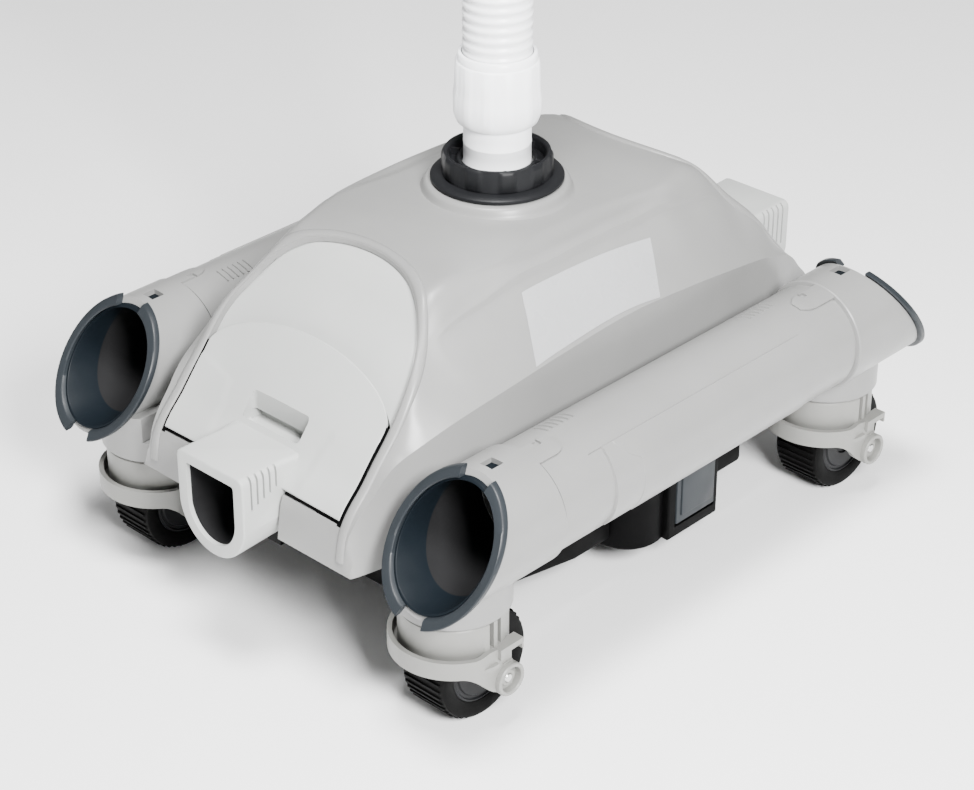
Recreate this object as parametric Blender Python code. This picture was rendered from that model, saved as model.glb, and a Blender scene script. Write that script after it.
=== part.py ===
"""Pool cleaner on four casters, driven by water from an upright hose.

Metres, +Z up, the front faces -Y.  Every y in the script is measured from the
hose axis, and the last step slides the model so that its box is centred.
"""

import math

import bmesh
import bpy
from mathutils import Matrix, Vector

# ---- where the model sits --------------------------------------------------
FRAME_SHIFT = -0.0115        # slides the hose axis so that the box is centred
GAP = 0.0003                 # clearance between pieces that touch

# ---- side ducts ------------------------------------------------------------
DUCT_X = 0.1475              # axis of each duct, left and right of the middle
DUCT_Z = 0.133
DUCT_RADIUS = 0.035          # the middle tube
END_RADIUS = 0.0368          # the end pieces
END_BORE = 0.0335
DUCT_BORE = 0.0318
SEAM_Y = 0.136               # where the middle tube meets its ends
MOUTH_Y = 0.2017             # centre of each slanted mouth
MOUTH_SLANT = math.tan(math.radians(35.0))
RING_RADIUS = 0.0394
RING_DEPTH = 0.008
SLEEVE_DEPTH = 0.025
STEM_RADIUS = 0.035
STEM_BOTTOM = 0.080
STEM_TOP = 0.107

# ---- casters ---------------------------------------------------------------
CASTER_X = 0.1315
CASTER_Y = 0.176
TRAIL = 0.009                # the wheel runs this far behind its swivel axis
WHEEL_RADIUS = 0.036
WHEEL_WIDTH = 0.034
RIM_RADIUS = 0.0245
AXLE_RADIUS = 0.003
CUP_RADIUS = 0.0325
CUP_TOP = 0.079
BRIM_RADIUS = 0.0385
SPIGOT_RADIUS = 0.010
SPIGOT_TOP = 0.096

# ---- body ------------------------------------------------------------------
BODY_BOTTOM = 0.095
BODY_END = 0.219             # front and rear edge
SKIRT_X = 0.1103             # outer face of the long sides
SHELL = 0.005
RECESS = 0.0025
CHASSIS_BOTTOM = 0.032
CHASSIS_WALL = 0.003
SCREW_X = 0.060
SCREW_Y = 0.120
PEDESTAL_RADIUS = 0.046      # the low boss on the crown under the flange
PEDESTAL_FOOT_Z = 0.2343
HOSE_HOLE_RADIUS = 0.0206

# ---- side pods and their doors ---------------------------------------------
DRUM_RADIUS = 0.025
DRUM_X = 0.102
DRUM_Y = 0.012
POD_Z = (0.024, 0.0838)
POD_Y = (0.020, 0.069)
POD_X = (0.088, 0.1305)
POCKET_X = (0.1262, 0.140)   # the recess that the door closes
DOOR_X = (0.1266, 0.1325)
DOOR_Y = (0.0270, 0.0650)
DOOR_Z = (0.0335, 0.0830)
DOOR_AXIS_X = 0.1300
DOOR_AXIS_Z = 0.0345

# crown height along half the body, as (distance from the hose axis, height)
CROWN = ((0.0, 0.2385), (0.080, 0.2380), (0.105, 0.2365), (0.118, 0.2330),
         (0.127, 0.2260), (0.136, 0.2165), (0.147, 0.2055), (0.160, 0.1903),
         (0.174, 0.1726), (0.195, 0.1456), (0.2150, 0.1190), (0.219, 0.0950))
# ridge height, and how steeply the side wall climbs inwards from it
RIDGE = ((0.0, 0.1890), (0.060, 0.1845), (0.093, 0.1800), (0.140, 0.1705),
         (0.160, 0.1640), (0.1825, 0.1550), (0.200, 0.1480), (0.219, 0.1250))
SIDE_CLIMB = ((0.0, 1.40), (0.060, 1.48), (0.093, 1.32), (0.120, 1.25),
              (0.140, 1.16), (0.160, 1.30), (0.1825, 0.50), (0.219, 0.10))
# half width of the body in plan, along its ridge and along its foot
RIDGE_X = ((0.0, SKIRT_X), (0.060, 0.1090), (0.093, 0.1073), (0.140, 0.1015),
           (0.160, 0.0975), (0.1825, 0.0923), (0.200, 0.0895), (0.219, 0.0860))
FOOT_X = ((0.0, SKIRT_X), (0.160, SKIRT_X), (0.184, 0.0985), (0.200, 0.0930),
          (0.215, 0.0880), (0.219, 0.0860))

# ---- nozzle covers ---------------------------------------------------------
COVER_HALF = 0.0786
COVER_FOOT_Y = 0.2130
ARCH_SPRING_Y = 0.174
ARCH_APEX_Y = 0.110
COVER_APEX_Y = 0.1585
SNOUT_HALF = 0.029
SNOUT_BORE_HALF = 0.0206
SNOUT_ROUND_Z = 0.110        # centre of the round bottom of the D
SNOUT_TOP = 0.144
SNOUT_BORE_TOP = 0.1366
SNOUT_BACK_Y = 0.190
FRONT_SNOUT_Y = 0.243
REAR_SNOUT_Y = 0.266
POCKET_HALF = 0.0235         # the finger pocket above each nozzle
POCKET_Y = (0.1843, 0.1948)
POCKET_FLOOR = 0.1405
POCKET_BACKING = 0.018       # depth of the block around the finger pocket
COVER_WALL = 0.0032

# ---- hose and swivel -------------------------------------------------------
FLANGE_RADIUS = 0.0417
FLANGE_Z = (0.2440, 0.2480)
LOCK_RADIUS = 0.0347
LOCK_Z = (0.2485, 0.2625)
STUB_RADIUS = 0.021
STUB_BORE = 0.0180
STUB_Z = (0.2484, 0.3055)
NUT_Z = (0.2830, 0.3280)
HOSE_DIAMETER = 0.043
HOSE_START_Z = 0.306
HOSE_LENGTH = 0.270
CONNECTOR_LENGTH = 0.058

# ---- works inside ----------------------------------------------------------
JET_Z = 0.113
PIPE_RADIUS = 0.017
PIPE_BORE = 0.0145
TURBINE_Z = 0.190
GEAR_MODULE = 0.002
PINION_TEETH = 10
GEAR_TEETH = 30
GEAR_X = (0.0235, 0.0285)
FLAP_AXIS_Z = 0.129

ROUND = 28                   # facets of a large turned piece
SMALL_ROUND = 12


# ---------------------------------------------------------------- materials
def material(name, colour, roughness, metallic=0.0):
    """A plain Principled material."""
    mat = bpy.data.materials.new(name)
    mat.use_nodes = True
    shader = mat.node_tree.nodes["Principled BSDF"]
    shader.inputs["Base Color"].default_value = (*colour, 1.0)
    shader.inputs["Roughness"].default_value = roughness
    shader.inputs["Metallic"].default_value = metallic
    mat.diffuse_color = (*colour, 1.0)
    return mat


# ------------------------------------------------------------------ helpers
def curve_value(points, distance):
    """Value at a distance on the straight lines that join the points."""
    distance = abs(distance)
    for (x0, y0), (x1, y1) in zip(points, points[1:]):
        if distance <= x1:
            return y0 + (y1 - y0) * (distance - x0) / (x1 - x0)
    return points[-1][1]


def make_object(name, bm, mat, origin=(0.0, 0.0, 0.0)):
    """Close a bmesh into a named object whose origin is at the given point."""
    bmesh.ops.remove_doubles(bm, verts=bm.verts, dist=0.00002)
    bmesh.ops.dissolve_degenerate(bm, edges=bm.edges, dist=0.00002)
    bmesh.ops.connect_verts_nonplanar(bm, angle_limit=0.001, faces=bm.faces)
    bmesh.ops.recalc_face_normals(bm, faces=bm.faces)
    bmesh.ops.translate(bm, verts=bm.verts, vec=-Vector(origin))
    mesh = bpy.data.meshes.new(name)
    bm.to_mesh(mesh)
    bm.free()
    mesh.materials.append(mat)
    obj = bpy.data.objects.new(name, mesh)
    obj.location = origin
    bpy.context.collection.objects.link(obj)
    return obj


def add_box(bm, x, y, z):
    """A box from three (low, high) pairs."""
    size = Vector((x[1] - x[0], y[1] - y[0], z[1] - z[0]))
    centre = Vector((x[0] + x[1], y[0] + y[1], z[0] + z[1])) / 2
    matrix = Matrix.Translation(centre) @ Matrix.Diagonal((*size, 1.0))
    return bmesh.ops.create_cube(bm, size=1.0, matrix=matrix)["verts"]


def add_prism(bm, outline, low, high):
    """A flat outline in x and y, carried straight up from low to high."""
    verts = [bm.verts.new((x, y, low)) for x, y in outline]
    face = bm.faces.new(verts)
    lifted = bmesh.ops.extrude_face_region(bm, geom=[face])
    top = [v for v in lifted["geom"] if isinstance(v, bmesh.types.BMVert)]
    bmesh.ops.translate(bm, verts=top, vec=(0.0, 0.0, high - low))
    return verts + top


def add_turned(bm, profile, segments, axis="Z", centre=(0.0, 0.0, 0.0)):
    """A profile of (radius, height) points turned about an axis.

    A profile that closes on itself makes a ring, and one that begins and ends
    at radius zero makes a solid.
    """
    start = set(bm.verts)
    closed = profile[0][0] > 0.0
    verts = [bm.verts.new((r, 0.0, h)) for r, h in profile]
    pairs = list(zip(verts, verts[1:]))
    if closed:
        pairs.append((verts[-1], verts[0]))
    edges = [bm.edges.new(pair) for pair in pairs]
    bmesh.ops.spin(bm, geom=verts + edges, cent=(0, 0, 0), axis=(0, 0, 1),
                   angle=2 * math.pi, steps=segments, use_merge=True)
    made = [v for v in bm.verts if v not in start]
    # half a facet of turn puts a flat, not a corner, at the lowest point
    bmesh.ops.rotate(bm, verts=made, cent=(0, 0, 0),
                     matrix=Matrix.Rotation(math.pi / segments, 3, "Z"))
    turns = {"X": Matrix.Rotation(math.pi / 2, 3, "Y"),
             "Y": Matrix.Rotation(-math.pi / 2, 3, "X"),
             "Z": Matrix.Identity(3)}
    bmesh.ops.rotate(bm, verts=made, cent=(0, 0, 0), matrix=turns[axis])
    bmesh.ops.translate(bm, verts=made, vec=centre)
    return made


def solid(radius, low, high):
    """Profile of a plain cylinder."""
    return [(0.0, low), (radius, low), (radius, high), (0.0, high)]


def hollow(inner, outer, low, high):
    """Profile of a plain tube."""
    return [(inner, low), (outer, low), (outer, high), (inner, high)]


def cutter(build):
    """A hidden object made by a function that fills a bmesh."""
    bm = bmesh.new()
    build(bm)
    obj = make_object("cutter", bm, MATERIALS["dark"])
    obj.hide_render = True
    obj.display_type = "WIRE"
    return obj


def combine(obj, other, operation):
    """Apply one exact Boolean and remove the second object."""
    step = obj.modifiers.new(operation, "BOOLEAN")
    step.operation = operation
    step.solver = "EXACT"
    step.object = other
    bake(obj)
    bpy.data.objects.remove(other)
    return obj


def bake(obj):
    """Turn an object's modifiers into its mesh."""
    bpy.context.view_layer.update()
    graph = bpy.context.evaluated_depsgraph_get()
    mesh = bpy.data.meshes.new_from_object(obj.evaluated_get(graph))
    obj.modifiers.clear()
    obj.data = mesh
    bm = bmesh.new()
    bm.from_mesh(mesh)
    bmesh.ops.remove_doubles(bm, verts=bm.verts, dist=0.000002)
    bm.to_mesh(mesh)
    bm.free()


def cut(obj, build):
    return combine(obj, cutter(build), "DIFFERENCE")


def join(obj, build):
    return combine(obj, cutter(build), "UNION")


# ------------------------------------------------------------ body surface
def body_height(x, y):
    """Height of the upper housing: the lower of its crown and its side wall."""
    crown = curve_value(CROWN, y) - 0.005 * (x / 0.080) ** 2 * min(1.0, (BODY_END - abs(y)) / 0.05)
    side = curve_value(RIDGE, y) + curve_value(SIDE_CLIMB, y) * (curve_value(RIDGE_X, y) - abs(x))
    blend = 0.006
    low = min(crown, side)
    near = max(blend - abs(crown - side), 0.0) / blend
    return max(low - near * near * blend / 4, BODY_BOTTOM)


def body_sheet(name):
    """The outer skin of the upper housing as an open grid."""
    rows = [-y for y, _ in reversed(CROWN)] + [y for y, _ in CROWN[1:]]
    rows = sorted(rows + [-0.040, 0.040])
    across = [-1.0, -1.0001, -0.97, -0.88, -0.78, -0.68, -0.58, -0.44, -0.29, -0.14]
    across = across + [0.0] + [-f for f in reversed(across)]
    bm = bmesh.new()
    bmesh.ops.create_grid(bm, x_segments=len(across) - 1, y_segments=len(rows) - 1, size=1.0)
    bm.verts.ensure_lookup_table()
    for index, vert in enumerate(bm.verts):
        fraction = across[index % len(across)]
        y = rows[index // len(across)]
        column = index % len(across)
        on_foot = column in (0, len(across) - 1)
        x = curve_value(FOOT_X if on_foot else RIDGE_X, y) * max(-1.0, min(1.0, fraction))
        vert.co = (x, y, BODY_BOTTOM if on_foot else body_height(x, y))
    return make_object(name, bm, MATERIALS["shell"])


def body_slab(name, depth, stand_off=0.0):
    """Part of the housing's skin from a depth up to a height above it."""
    obj = body_sheet(name)
    thick = obj.modifiers.new("thickness", "SOLIDIFY")
    thick.thickness = depth + stand_off
    thick.offset = (stand_off - depth) / (depth + stand_off)
    thick.use_even_offset = True
    bake(obj)
    return obj


def arch_outline(end, apex_y, inset=0.0):
    """Plan outline of a cover or of its recess, at the front (-1) or rear (+1)."""
    half = COVER_HALF - inset
    rise = ARCH_SPRING_Y - apex_y - inset
    points = [(-half, end * (COVER_FOOT_Y - inset)), (half, end * (COVER_FOOT_Y - inset))]
    steps = 14
    for step in range(steps + 1):
        angle = math.pi * step / steps
        bulge = math.sin(angle) ** (0.9 if rise > 0.03 else 1.0)
        points.append((half * math.cos(angle), end * (ARCH_SPRING_Y - rise * bulge)))
    return points


def snout_outline(half, round_z, top):
    """The D of a nozzle, as (x, z): flat on top and round below."""
    points = [(half, top), (-half, top)]
    steps = 12
    for step in range(steps + 1):
        angle = math.pi + math.pi * step / steps
        points.append((half * math.cos(angle), round_z + half * math.sin(angle)))
    return points


def add_snout(bm, half, top, y_from, y_to):
    """A D-shaped bar along Y."""
    outline = snout_outline(half, SNOUT_ROUND_Z, top)
    verts = add_prism(bm, outline, y_from, y_to)
    # (x, z, y) comes out of the prism, so its last two axes are swapped
    for vert in verts:
        x, z, y = vert.co
        vert.co = (x, y, z)


# ------------------------------------------------------------------- body
def upper_housing():
    """The humped grey shell with both arched recesses and cover openings."""
    housing = body_slab("upper_housing", SHELL)
    # the wall leans, so its thickness would dip below the foot
    for vert in housing.data.vertices:
        vert.co.z = max(vert.co.z, BODY_BOTTOM)
    join(housing, lambda bm: add_turned(
        bm, hollow(HOSE_HOLE_RADIUS - 0.0001, PEDESTAL_RADIUS, PEDESTAL_FOOT_Z,
                   FLANGE_Z[0] - GAP), ROUND))
    cut(housing, lambda bm: add_turned(bm, solid(HOSE_HOLE_RADIUS, 0.200, 0.260), ROUND))
    for end in (-1, 1):
        recess = body_slab("recess", RECESS, 0.006)
        combine(recess, cutter(lambda bm, e=end: add_prism(
            bm, arch_outline(e, ARCH_APEX_Y), 0.05, 0.30)), "INTERSECT")
        combine(housing, recess, "DIFFERENCE")
        cut(housing, lambda bm, e=end: add_prism(
            bm, arch_outline(e, COVER_APEX_Y, -GAP), 0.05, 0.30))
        # the foot of the opening is notched for the nozzle
        low, high = sorted((end * 0.205, end * 0.225))
        cut(housing, lambda bm, a=low, b=high: add_box(
            bm, (-SNOUT_HALF - 0.001, SNOUT_HALF + 0.001), (a, b), (0.08, 0.13)))
    return housing


def nozzle_cover(name, end, snout_y):
    """A flush cover with a hollow D-shaped nozzle and a finger pocket."""
    cover = body_slab(name, COVER_WALL)
    combine(cover, cutter(lambda bm: add_prism(
        bm, arch_outline(end, COVER_APEX_Y, GAP / 2), 0.05, 0.30)), "INTERSECT")
    backing = body_slab("backing", POCKET_BACKING)
    behind = sorted((end * 0.1975, end * 0.1795))
    combine(backing, cutter(lambda bm: add_box(bm, (-0.0265, 0.0265), behind, (0.13, 0.18))),
            "INTERSECT")
    combine(cover, backing, "UNION")
    join(cover, lambda bm: add_snout(bm, SNOUT_HALF, SNOUT_TOP,
                                     *sorted((end * SNOUT_BACK_Y, end * snout_y))))
    cut(cover, lambda bm: add_snout(bm, SNOUT_BORE_HALF, SNOUT_BORE_TOP,
                                    *sorted((end * 0.150, end * 0.300))))
    pocket = sorted((end * POCKET_Y[0], end * POCKET_Y[1]))
    cut(cover, lambda bm: add_box(bm, (-POCKET_HALF, POCKET_HALF), pocket, (POCKET_FLOOR, 0.20)))
    return cover


def chassis_outline(inset, reach):
    """Plan of the black underbody; it narrows between the casters."""
    half = 0.110 - inset
    waist = 0.080 - inset
    side = [(half, -0.045), (half, 0.118 - inset), (waist, 0.140 - inset), (waist - 0.004, reach)]
    front = [(waist - 0.004, -reach), (waist, -0.130 + inset), (half - 0.009, -0.088)]
    right = front + side
    return right + [(-x, y) for x, y in reversed(right)]


def add_chassis(bm, inset, low, high):
    """A boat-shaped block: its ends lean outwards as they rise."""
    outline = chassis_outline(inset, 0.148 - inset)
    verts = add_prism(bm, outline, low, high)
    for vert in verts:
        if vert.co.z > (low + high) / 2 and abs(vert.co.y) > 0.142:
            vert.co.y = math.copysign(0.187 - inset, vert.co.y)


def lower_chassis():
    """The underbody, an open tray under the housing."""
    bm = bmesh.new()
    add_chassis(bm, 0.0, CHASSIS_BOTTOM, BODY_BOTTOM - GAP)
    chassis = make_object("lower_chassis", bm, MATERIALS["black"])
    cut(chassis, lambda bm: add_chassis(bm, CHASSIS_WALL, CHASSIS_BOTTOM + CHASSIS_WALL, 0.0951))
    for side in (-1, 1):
        x = sorted((side * 0.0766, side * 0.120))
        cut(chassis, lambda bm, x=x: add_box(bm, x, (-0.0134, 0.0694), (0.020, 0.0842)))
    for sx in (-1, 1):
        for sy in (-1, 1):
            cut(chassis, lambda bm, x=sx * SCREW_X, y=sy * SCREW_Y: add_turned(
                bm, solid(0.0029, 0.0, 0.050), SMALL_ROUND, "Z", (x, y, 0.0)))
    join(chassis, lambda bm: add_box(bm, (-0.014, 0.006), (-0.196, -0.166), (0.068, 0.0795)))
    return chassis


def chassis_screw(name, sx, sy):
    """A pan-headed screw from below, its shank inside the chassis floor."""
    bm = bmesh.new()
    head = CHASSIS_BOTTOM - GAP
    profile = [(0.0, head - 0.0022), (0.0050, head - 0.0022), (0.0058, head),
               (0.0025, head), (0.0025, head + 0.014), (0.0, head + 0.014)]
    x = sx * SCREW_X
    y = sy * SCREW_Y
    add_turned(bm, profile, SMALL_ROUND, "Z", (x, y, 0.0))
    return make_object(name, bm, MATERIALS["steel"])


def side_pod(name, side):
    """The black drum and box frame that hang under each duct."""
    bm = bmesh.new()
    add_turned(bm, solid(DRUM_RADIUS, *POD_Z), 24, "Z", (side * DRUM_X, DRUM_Y, 0.0))
    pod = make_object(name, bm, MATERIALS["black"])
    frame = sorted(side * x for x in POD_X)
    join(pod, lambda bm: add_box(bm, frame, POD_Y, POD_Z))
    pocket = sorted(side * x for x in POCKET_X)
    room = (DOOR_Y[0] - 0.0005, DOOR_Y[1] + 0.0005)
    cut(pod, lambda bm: add_box(bm, pocket, room, (DOOR_Z[0] - 0.0020, 0.0900)))
    return pod


def side_door(name, side):
    """The blue-grey door that swings down from the pod's frame."""
    bm = bmesh.new()
    x = sorted(side * x for x in DOOR_X)
    add_box(bm, x, DOOR_Y, DOOR_Z)
    return make_object(name, bm, MATERIALS["ring"], (side * DOOR_AXIS_X, 0.0, DOOR_AXIS_Z))


# ------------------------------------------------------------------ ducts
def duct(name, side):
    """The middle tube of a side duct with its raised outer panel."""
    bm = bmesh.new()
    length = SEAM_Y - GAP
    add_turned(bm, hollow(DUCT_BORE, DUCT_RADIUS, -length, length), ROUND, "Y",
               (side * DUCT_X, 0.0, DUCT_Z))
    return make_object(name, bm, MATERIALS["shell"])


def slant(verts, end, seam_side):
    """Lean the mouth end of a duct piece and leave its seam end square."""
    for vert in verts:
        share = 1.0 if abs(vert.co.y) > seam_side else 0.0
        vert.co.y -= end * share * (vert.co.z - DUCT_Z) * MOUTH_SLANT


def duct_end(name, side, end):
    """A slanted duct mouth with the stem that carries a caster."""
    bm = bmesh.new()
    mouth = MOUTH_Y - RING_DEPTH - GAP
    neck = SEAM_Y + (0.0010 if end < 0 else 0.0026)
    profile = [(END_BORE, SEAM_Y), (DUCT_RADIUS - 0.0006, SEAM_Y), (DUCT_RADIUS - 0.0006, neck),
               (END_RADIUS, neck), (END_RADIUS, mouth), (END_BORE, mouth)]
    verts = add_turned(bm, [(r, end * y) for r, y in profile], ROUND, "Y",
                       (side * DUCT_X, 0.0, DUCT_Z))
    slant(verts, end, 0.150)
    piece = make_object(name, bm, MATERIALS["shell"])
    x = side * CASTER_X
    y = end * CASTER_Y
    stem = cutter(lambda bm: add_turned(bm, solid(STEM_RADIUS, STEM_BOTTOM, STEM_TOP), ROUND, "Z",
                                        (x, y, 0.0)))
    inner = sorted((side * 0.080, side * (SKIRT_X + GAP)))
    cut(stem, lambda bm: add_box(bm, inner, (y - 0.05, y + 0.05), (BODY_BOTTOM - GAP, 0.200)))
    cut(stem, lambda bm: add_turned(bm, solid(END_RADIUS - 0.0015, -0.250, 0.250), ROUND, "Y",
                                    (side * DUCT_X, 0.0, DUCT_Z)))
    combine(piece, stem, "UNION")
    cut(piece, lambda bm: add_turned(bm, solid(SPIGOT_RADIUS + 0.0004, 0.0, SPIGOT_TOP + 0.0006),
                                     SMALL_ROUND, "Z", (x, y, 0.0)))
    return piece


def mouth_ring(name, side, end):
    """The blue-grey lip of a mouth with a sleeve that reaches into the duct."""
    bm = bmesh.new()
    back = MOUTH_Y - RING_DEPTH
    sleeve = END_BORE - GAP
    profile = [(sleeve - 0.0022, MOUTH_Y - SLEEVE_DEPTH), (sleeve, MOUTH_Y - SLEEVE_DEPTH),
               (sleeve, back), (RING_RADIUS, back), (RING_RADIUS, MOUTH_Y),
               (END_BORE, MOUTH_Y), (sleeve - 0.0022, back)]
    verts = add_turned(bm, [(r, end * y) for r, y in profile], ROUND, "Y",
                       (side * DUCT_X, 0.0, DUCT_Z))
    slant(verts, end, 0.0)
    return make_object(name, bm, MATERIALS["ring"])


# ---------------------------------------------------------------- casters
def caster_fork(name, side, end):
    """The cup, brim and two arms that hold a wheel; it swivels about Z."""
    x = side * CASTER_X
    y = end * CASTER_Y
    axle_y = y + TRAIL
    bm = bmesh.new()
    add_turned(bm, [(0.0, 0.052), (CUP_RADIUS, 0.052), (CUP_RADIUS, CUP_TOP),
                    (SPIGOT_RADIUS, CUP_TOP), (SPIGOT_RADIUS, SPIGOT_TOP), (0.0, SPIGOT_TOP)],
               20, "Z", (x, y, 0.0))
    fork = make_object(name, bm, MATERIALS["fork"], (x, y, 0.0))
    join(fork, lambda bm: add_prism(bm, brim_outline(x, y), 0.049, 0.0575))
    for hand in (-1, 1):
        arm_x = sorted((x + hand * 0.0310, x + hand * BRIM_RADIUS))
        join(fork, lambda bm, a=arm_x: add_arm(bm, a, axle_y))
    cut(fork, lambda bm: add_turned(
        bm, solid(WHEEL_RADIUS + 0.0020, -WHEEL_WIDTH / 2 - 0.0015, WHEEL_WIDTH / 2 + 0.0015),
        24, "X", (x, axle_y, WHEEL_RADIUS)))
    cut(fork, lambda bm: add_box(bm, (x - 0.0309, x + 0.0309), (axle_y - 0.060, axle_y + 0.060),
                                 (0.0, 0.0489)))
    cut(fork, lambda bm: add_turned(bm, solid(AXLE_RADIUS + 0.0002, -0.05, 0.05), SMALL_ROUND,
                                    "X", (x, axle_y, WHEEL_RADIUS)))
    return fork


def brim_outline(x, y):
    """Half a disc in front of the caster, square at the arms."""
    points = []
    steps = 12
    for step in range(steps + 1):
        angle = math.pi + math.pi * step / steps
        points.append((x + BRIM_RADIUS * math.cos(angle), y + BRIM_RADIUS * math.sin(angle)))
    return points + [(x + BRIM_RADIUS, y + 0.022), (x - BRIM_RADIUS, y + 0.022)]


def add_arm(bm, x, axle_y):
    """A tapering arm with a round foot about the axle, cut from a plate."""
    outline = []
    steps = 8
    radius = 0.0100
    for step in range(steps + 1):
        angle = math.pi + math.pi * step / steps
        outline.append((axle_y + radius * math.cos(angle), WHEEL_RADIUS + radius * math.sin(angle)))
    outline += [(axle_y + 0.0120, 0.0530), (axle_y - 0.0240, 0.0530)]
    for vert in add_prism(bm, outline, x[0], x[1]):
        y, z, depth = vert.co
        vert.co = (depth, y, z)


def caster_axle(name, side, end):
    """The steel pin through both arms and the wheel."""
    bm = bmesh.new()
    centre = (side * CASTER_X, end * CASTER_Y + TRAIL, WHEEL_RADIUS)
    reach = BRIM_RADIUS - 0.0005
    add_turned(bm, solid(AXLE_RADIUS, -reach, reach), SMALL_ROUND, "X", centre)
    return make_object(name, bm, MATERIALS["steel"])


def wheel_centre(side, end):
    return (side * CASTER_X, end * CASTER_Y + TRAIL, WHEEL_RADIUS)


def wheel_tyre(name, side, end):
    """The broad black tread."""
    bm = bmesh.new()
    half = WHEEL_WIDTH / 2
    profile = [(RIM_RADIUS + GAP, -half), (WHEEL_RADIUS - 0.003, -half),
               (WHEEL_RADIUS, -half + 0.004), (WHEEL_RADIUS, half - 0.004),
               (WHEEL_RADIUS - 0.003, half), (RIM_RADIUS + GAP, half)]
    add_turned(bm, profile, 24, "X", wheel_centre(side, end))
    return make_object(name, bm, MATERIALS["black"], wheel_centre(side, end))


def wheel_hub(name, side, end):
    """The charcoal hub with a bore for the axle."""
    bm = bmesh.new()
    bore = AXLE_RADIUS + GAP
    half = WHEEL_WIDTH / 2 - 0.003
    profile = [(bore, -0.029), (0.0075, -0.029), (0.0075, -half), (RIM_RADIUS, -half),
               (RIM_RADIUS, half), (0.0075, half), (0.0075, 0.029), (bore, 0.029)]
    add_turned(bm, profile, SMALL_ROUND, "X", wheel_centre(side, end))
    return make_object(name, bm, MATERIALS["charcoal"], wheel_centre(side, end))


# ----------------------------------------------------------- hose and swivel
def swivel_flange():
    """The charcoal disc on the crown."""
    bm = bmesh.new()
    low, high = FLANGE_Z
    profile = [(0.0165, low), (FLANGE_RADIUS, low), (FLANGE_RADIUS, high - 0.0015),
               (FLANGE_RADIUS - 0.0015, high), (0.0165, high)]
    add_turned(bm, profile, ROUND)
    return make_object("swivel_flange", bm, MATERIALS["charcoal"])


def locking_ring():
    """The castellated ring that holds the hose stub down."""
    bm = bmesh.new()
    low, high = LOCK_Z
    profile = [(0.0290, low), (LOCK_RADIUS, low), (LOCK_RADIUS, high), (0.0300, high),
               (0.0290, 0.2570), (0.0222, 0.2570), (0.0222, 0.2540), (0.0290, 0.2540)]
    add_turned(bm, profile, ROUND)
    ring = make_object("locking_ring", bm, MATERIALS["charcoal"])
    notches = 8
    for step in range(notches):
        turn = Matrix.Rotation(2 * math.pi * step / notches, 4, "Z")
        cut(ring, lambda bm, t=turn: bmesh.ops.transform(
            bm, matrix=t, verts=add_box(bm, (0.0325, 0.0400), (-0.0026, 0.0026), (0.2525, 0.2700))))
    return ring


def hose_stub():
    """The white swivelling pipe that the hose screws onto."""
    bm = bmesh.new()
    low, high = STUB_Z
    profile = [(STUB_BORE, low), (0.0265, low), (0.0265, 0.2535), (STUB_RADIUS, 0.2535),
               (STUB_RADIUS, high), (STUB_BORE, high)]
    add_turned(bm, profile, ROUND)
    return make_object("hose_stub", bm, MATERIALS["white"])


def hose_nut():
    """The white nut that clamps the hose to the stub."""
    bm = bmesh.new()
    low, high = NUT_Z
    hose = HOSE_DIAMETER / 2 + 0.0006
    profile = [(STUB_RADIUS + GAP, low), (0.0255, low), (0.0275, low + 0.008),
               (0.0275, low + 0.019), (0.0260, high - 0.006), (0.0240, high), (hose, high),
               (hose, HOSE_START_Z - 0.003), (STUB_RADIUS + GAP, HOSE_START_Z - 0.006)]
    add_turned(bm, profile, ROUND)
    return make_object("hose_nut", bm, MATERIALS["white"])


def hose_tube():
    """The hose, held straight up by the pool pump line."""
    points = 8
    curve = bpy.data.curves.new("hose_tube", "CURVE")
    curve.dimensions = "3D"
    curve.bevel_depth = HOSE_DIAMETER / 2
    curve.bevel_resolution = 3
    curve.use_fill_caps = True
    spline = curve.splines.new("POLY")
    spline.points.add(points - 1)
    for step, point in enumerate(spline.points):
        z = HOSE_START_Z + HOSE_LENGTH * step / (points - 1)
        point.co = (0.0, 0.0, z, 1.0)
    curve.materials.append(MATERIALS["white"])
    obj = bpy.data.objects.new("hose_tube", curve)
    bpy.context.collection.objects.link(obj)
    return obj


def hose_connector():
    """The cuff on the hose's far end."""
    bm = bmesh.new()
    low = HOSE_START_Z + HOSE_LENGTH + GAP
    high = low + CONNECTOR_LENGTH
    profile = [(0.0165, low), (0.0265, low), (0.0265, low + 0.022), (0.0235, low + 0.026),
               (0.0225, high), (0.0165, high)]
    add_turned(bm, profile, ROUND)
    return make_object("hose_connector", bm, MATERIALS["white"])


# --------------------------------------------------------------- works inside
def inlet_manifold():
    """A T of pipe: water comes down the middle and leaves by both nozzles."""
    bm = bmesh.new()
    length = SNOUT_BACK_Y - GAP
    add_turned(bm, solid(PIPE_RADIUS, -length, length), 24, "Y", (0.0, 0.0, JET_Z))
    pipe = make_object("inlet_manifold", bm, MATERIALS["fork"])
    join(pipe, lambda bm: add_turned(bm, solid(0.0195, JET_Z - 0.005, FLANGE_Z[0] - GAP), 24))
    cut(pipe, lambda bm: add_turned(bm, solid(PIPE_BORE, -0.25, 0.25), 24, "Y", (0, 0, JET_Z)))
    cut(pipe, lambda bm: add_turned(bm, solid(0.0165, JET_Z, 0.260), 24))
    for z in (TURBINE_Z, FLAP_AXIS_Z):
        cut(pipe, lambda bm, z=z: add_turned(bm, solid(0.0023, -0.03, 0.03), 8, "X", (0, 0, z)))
    return pipe


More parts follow.
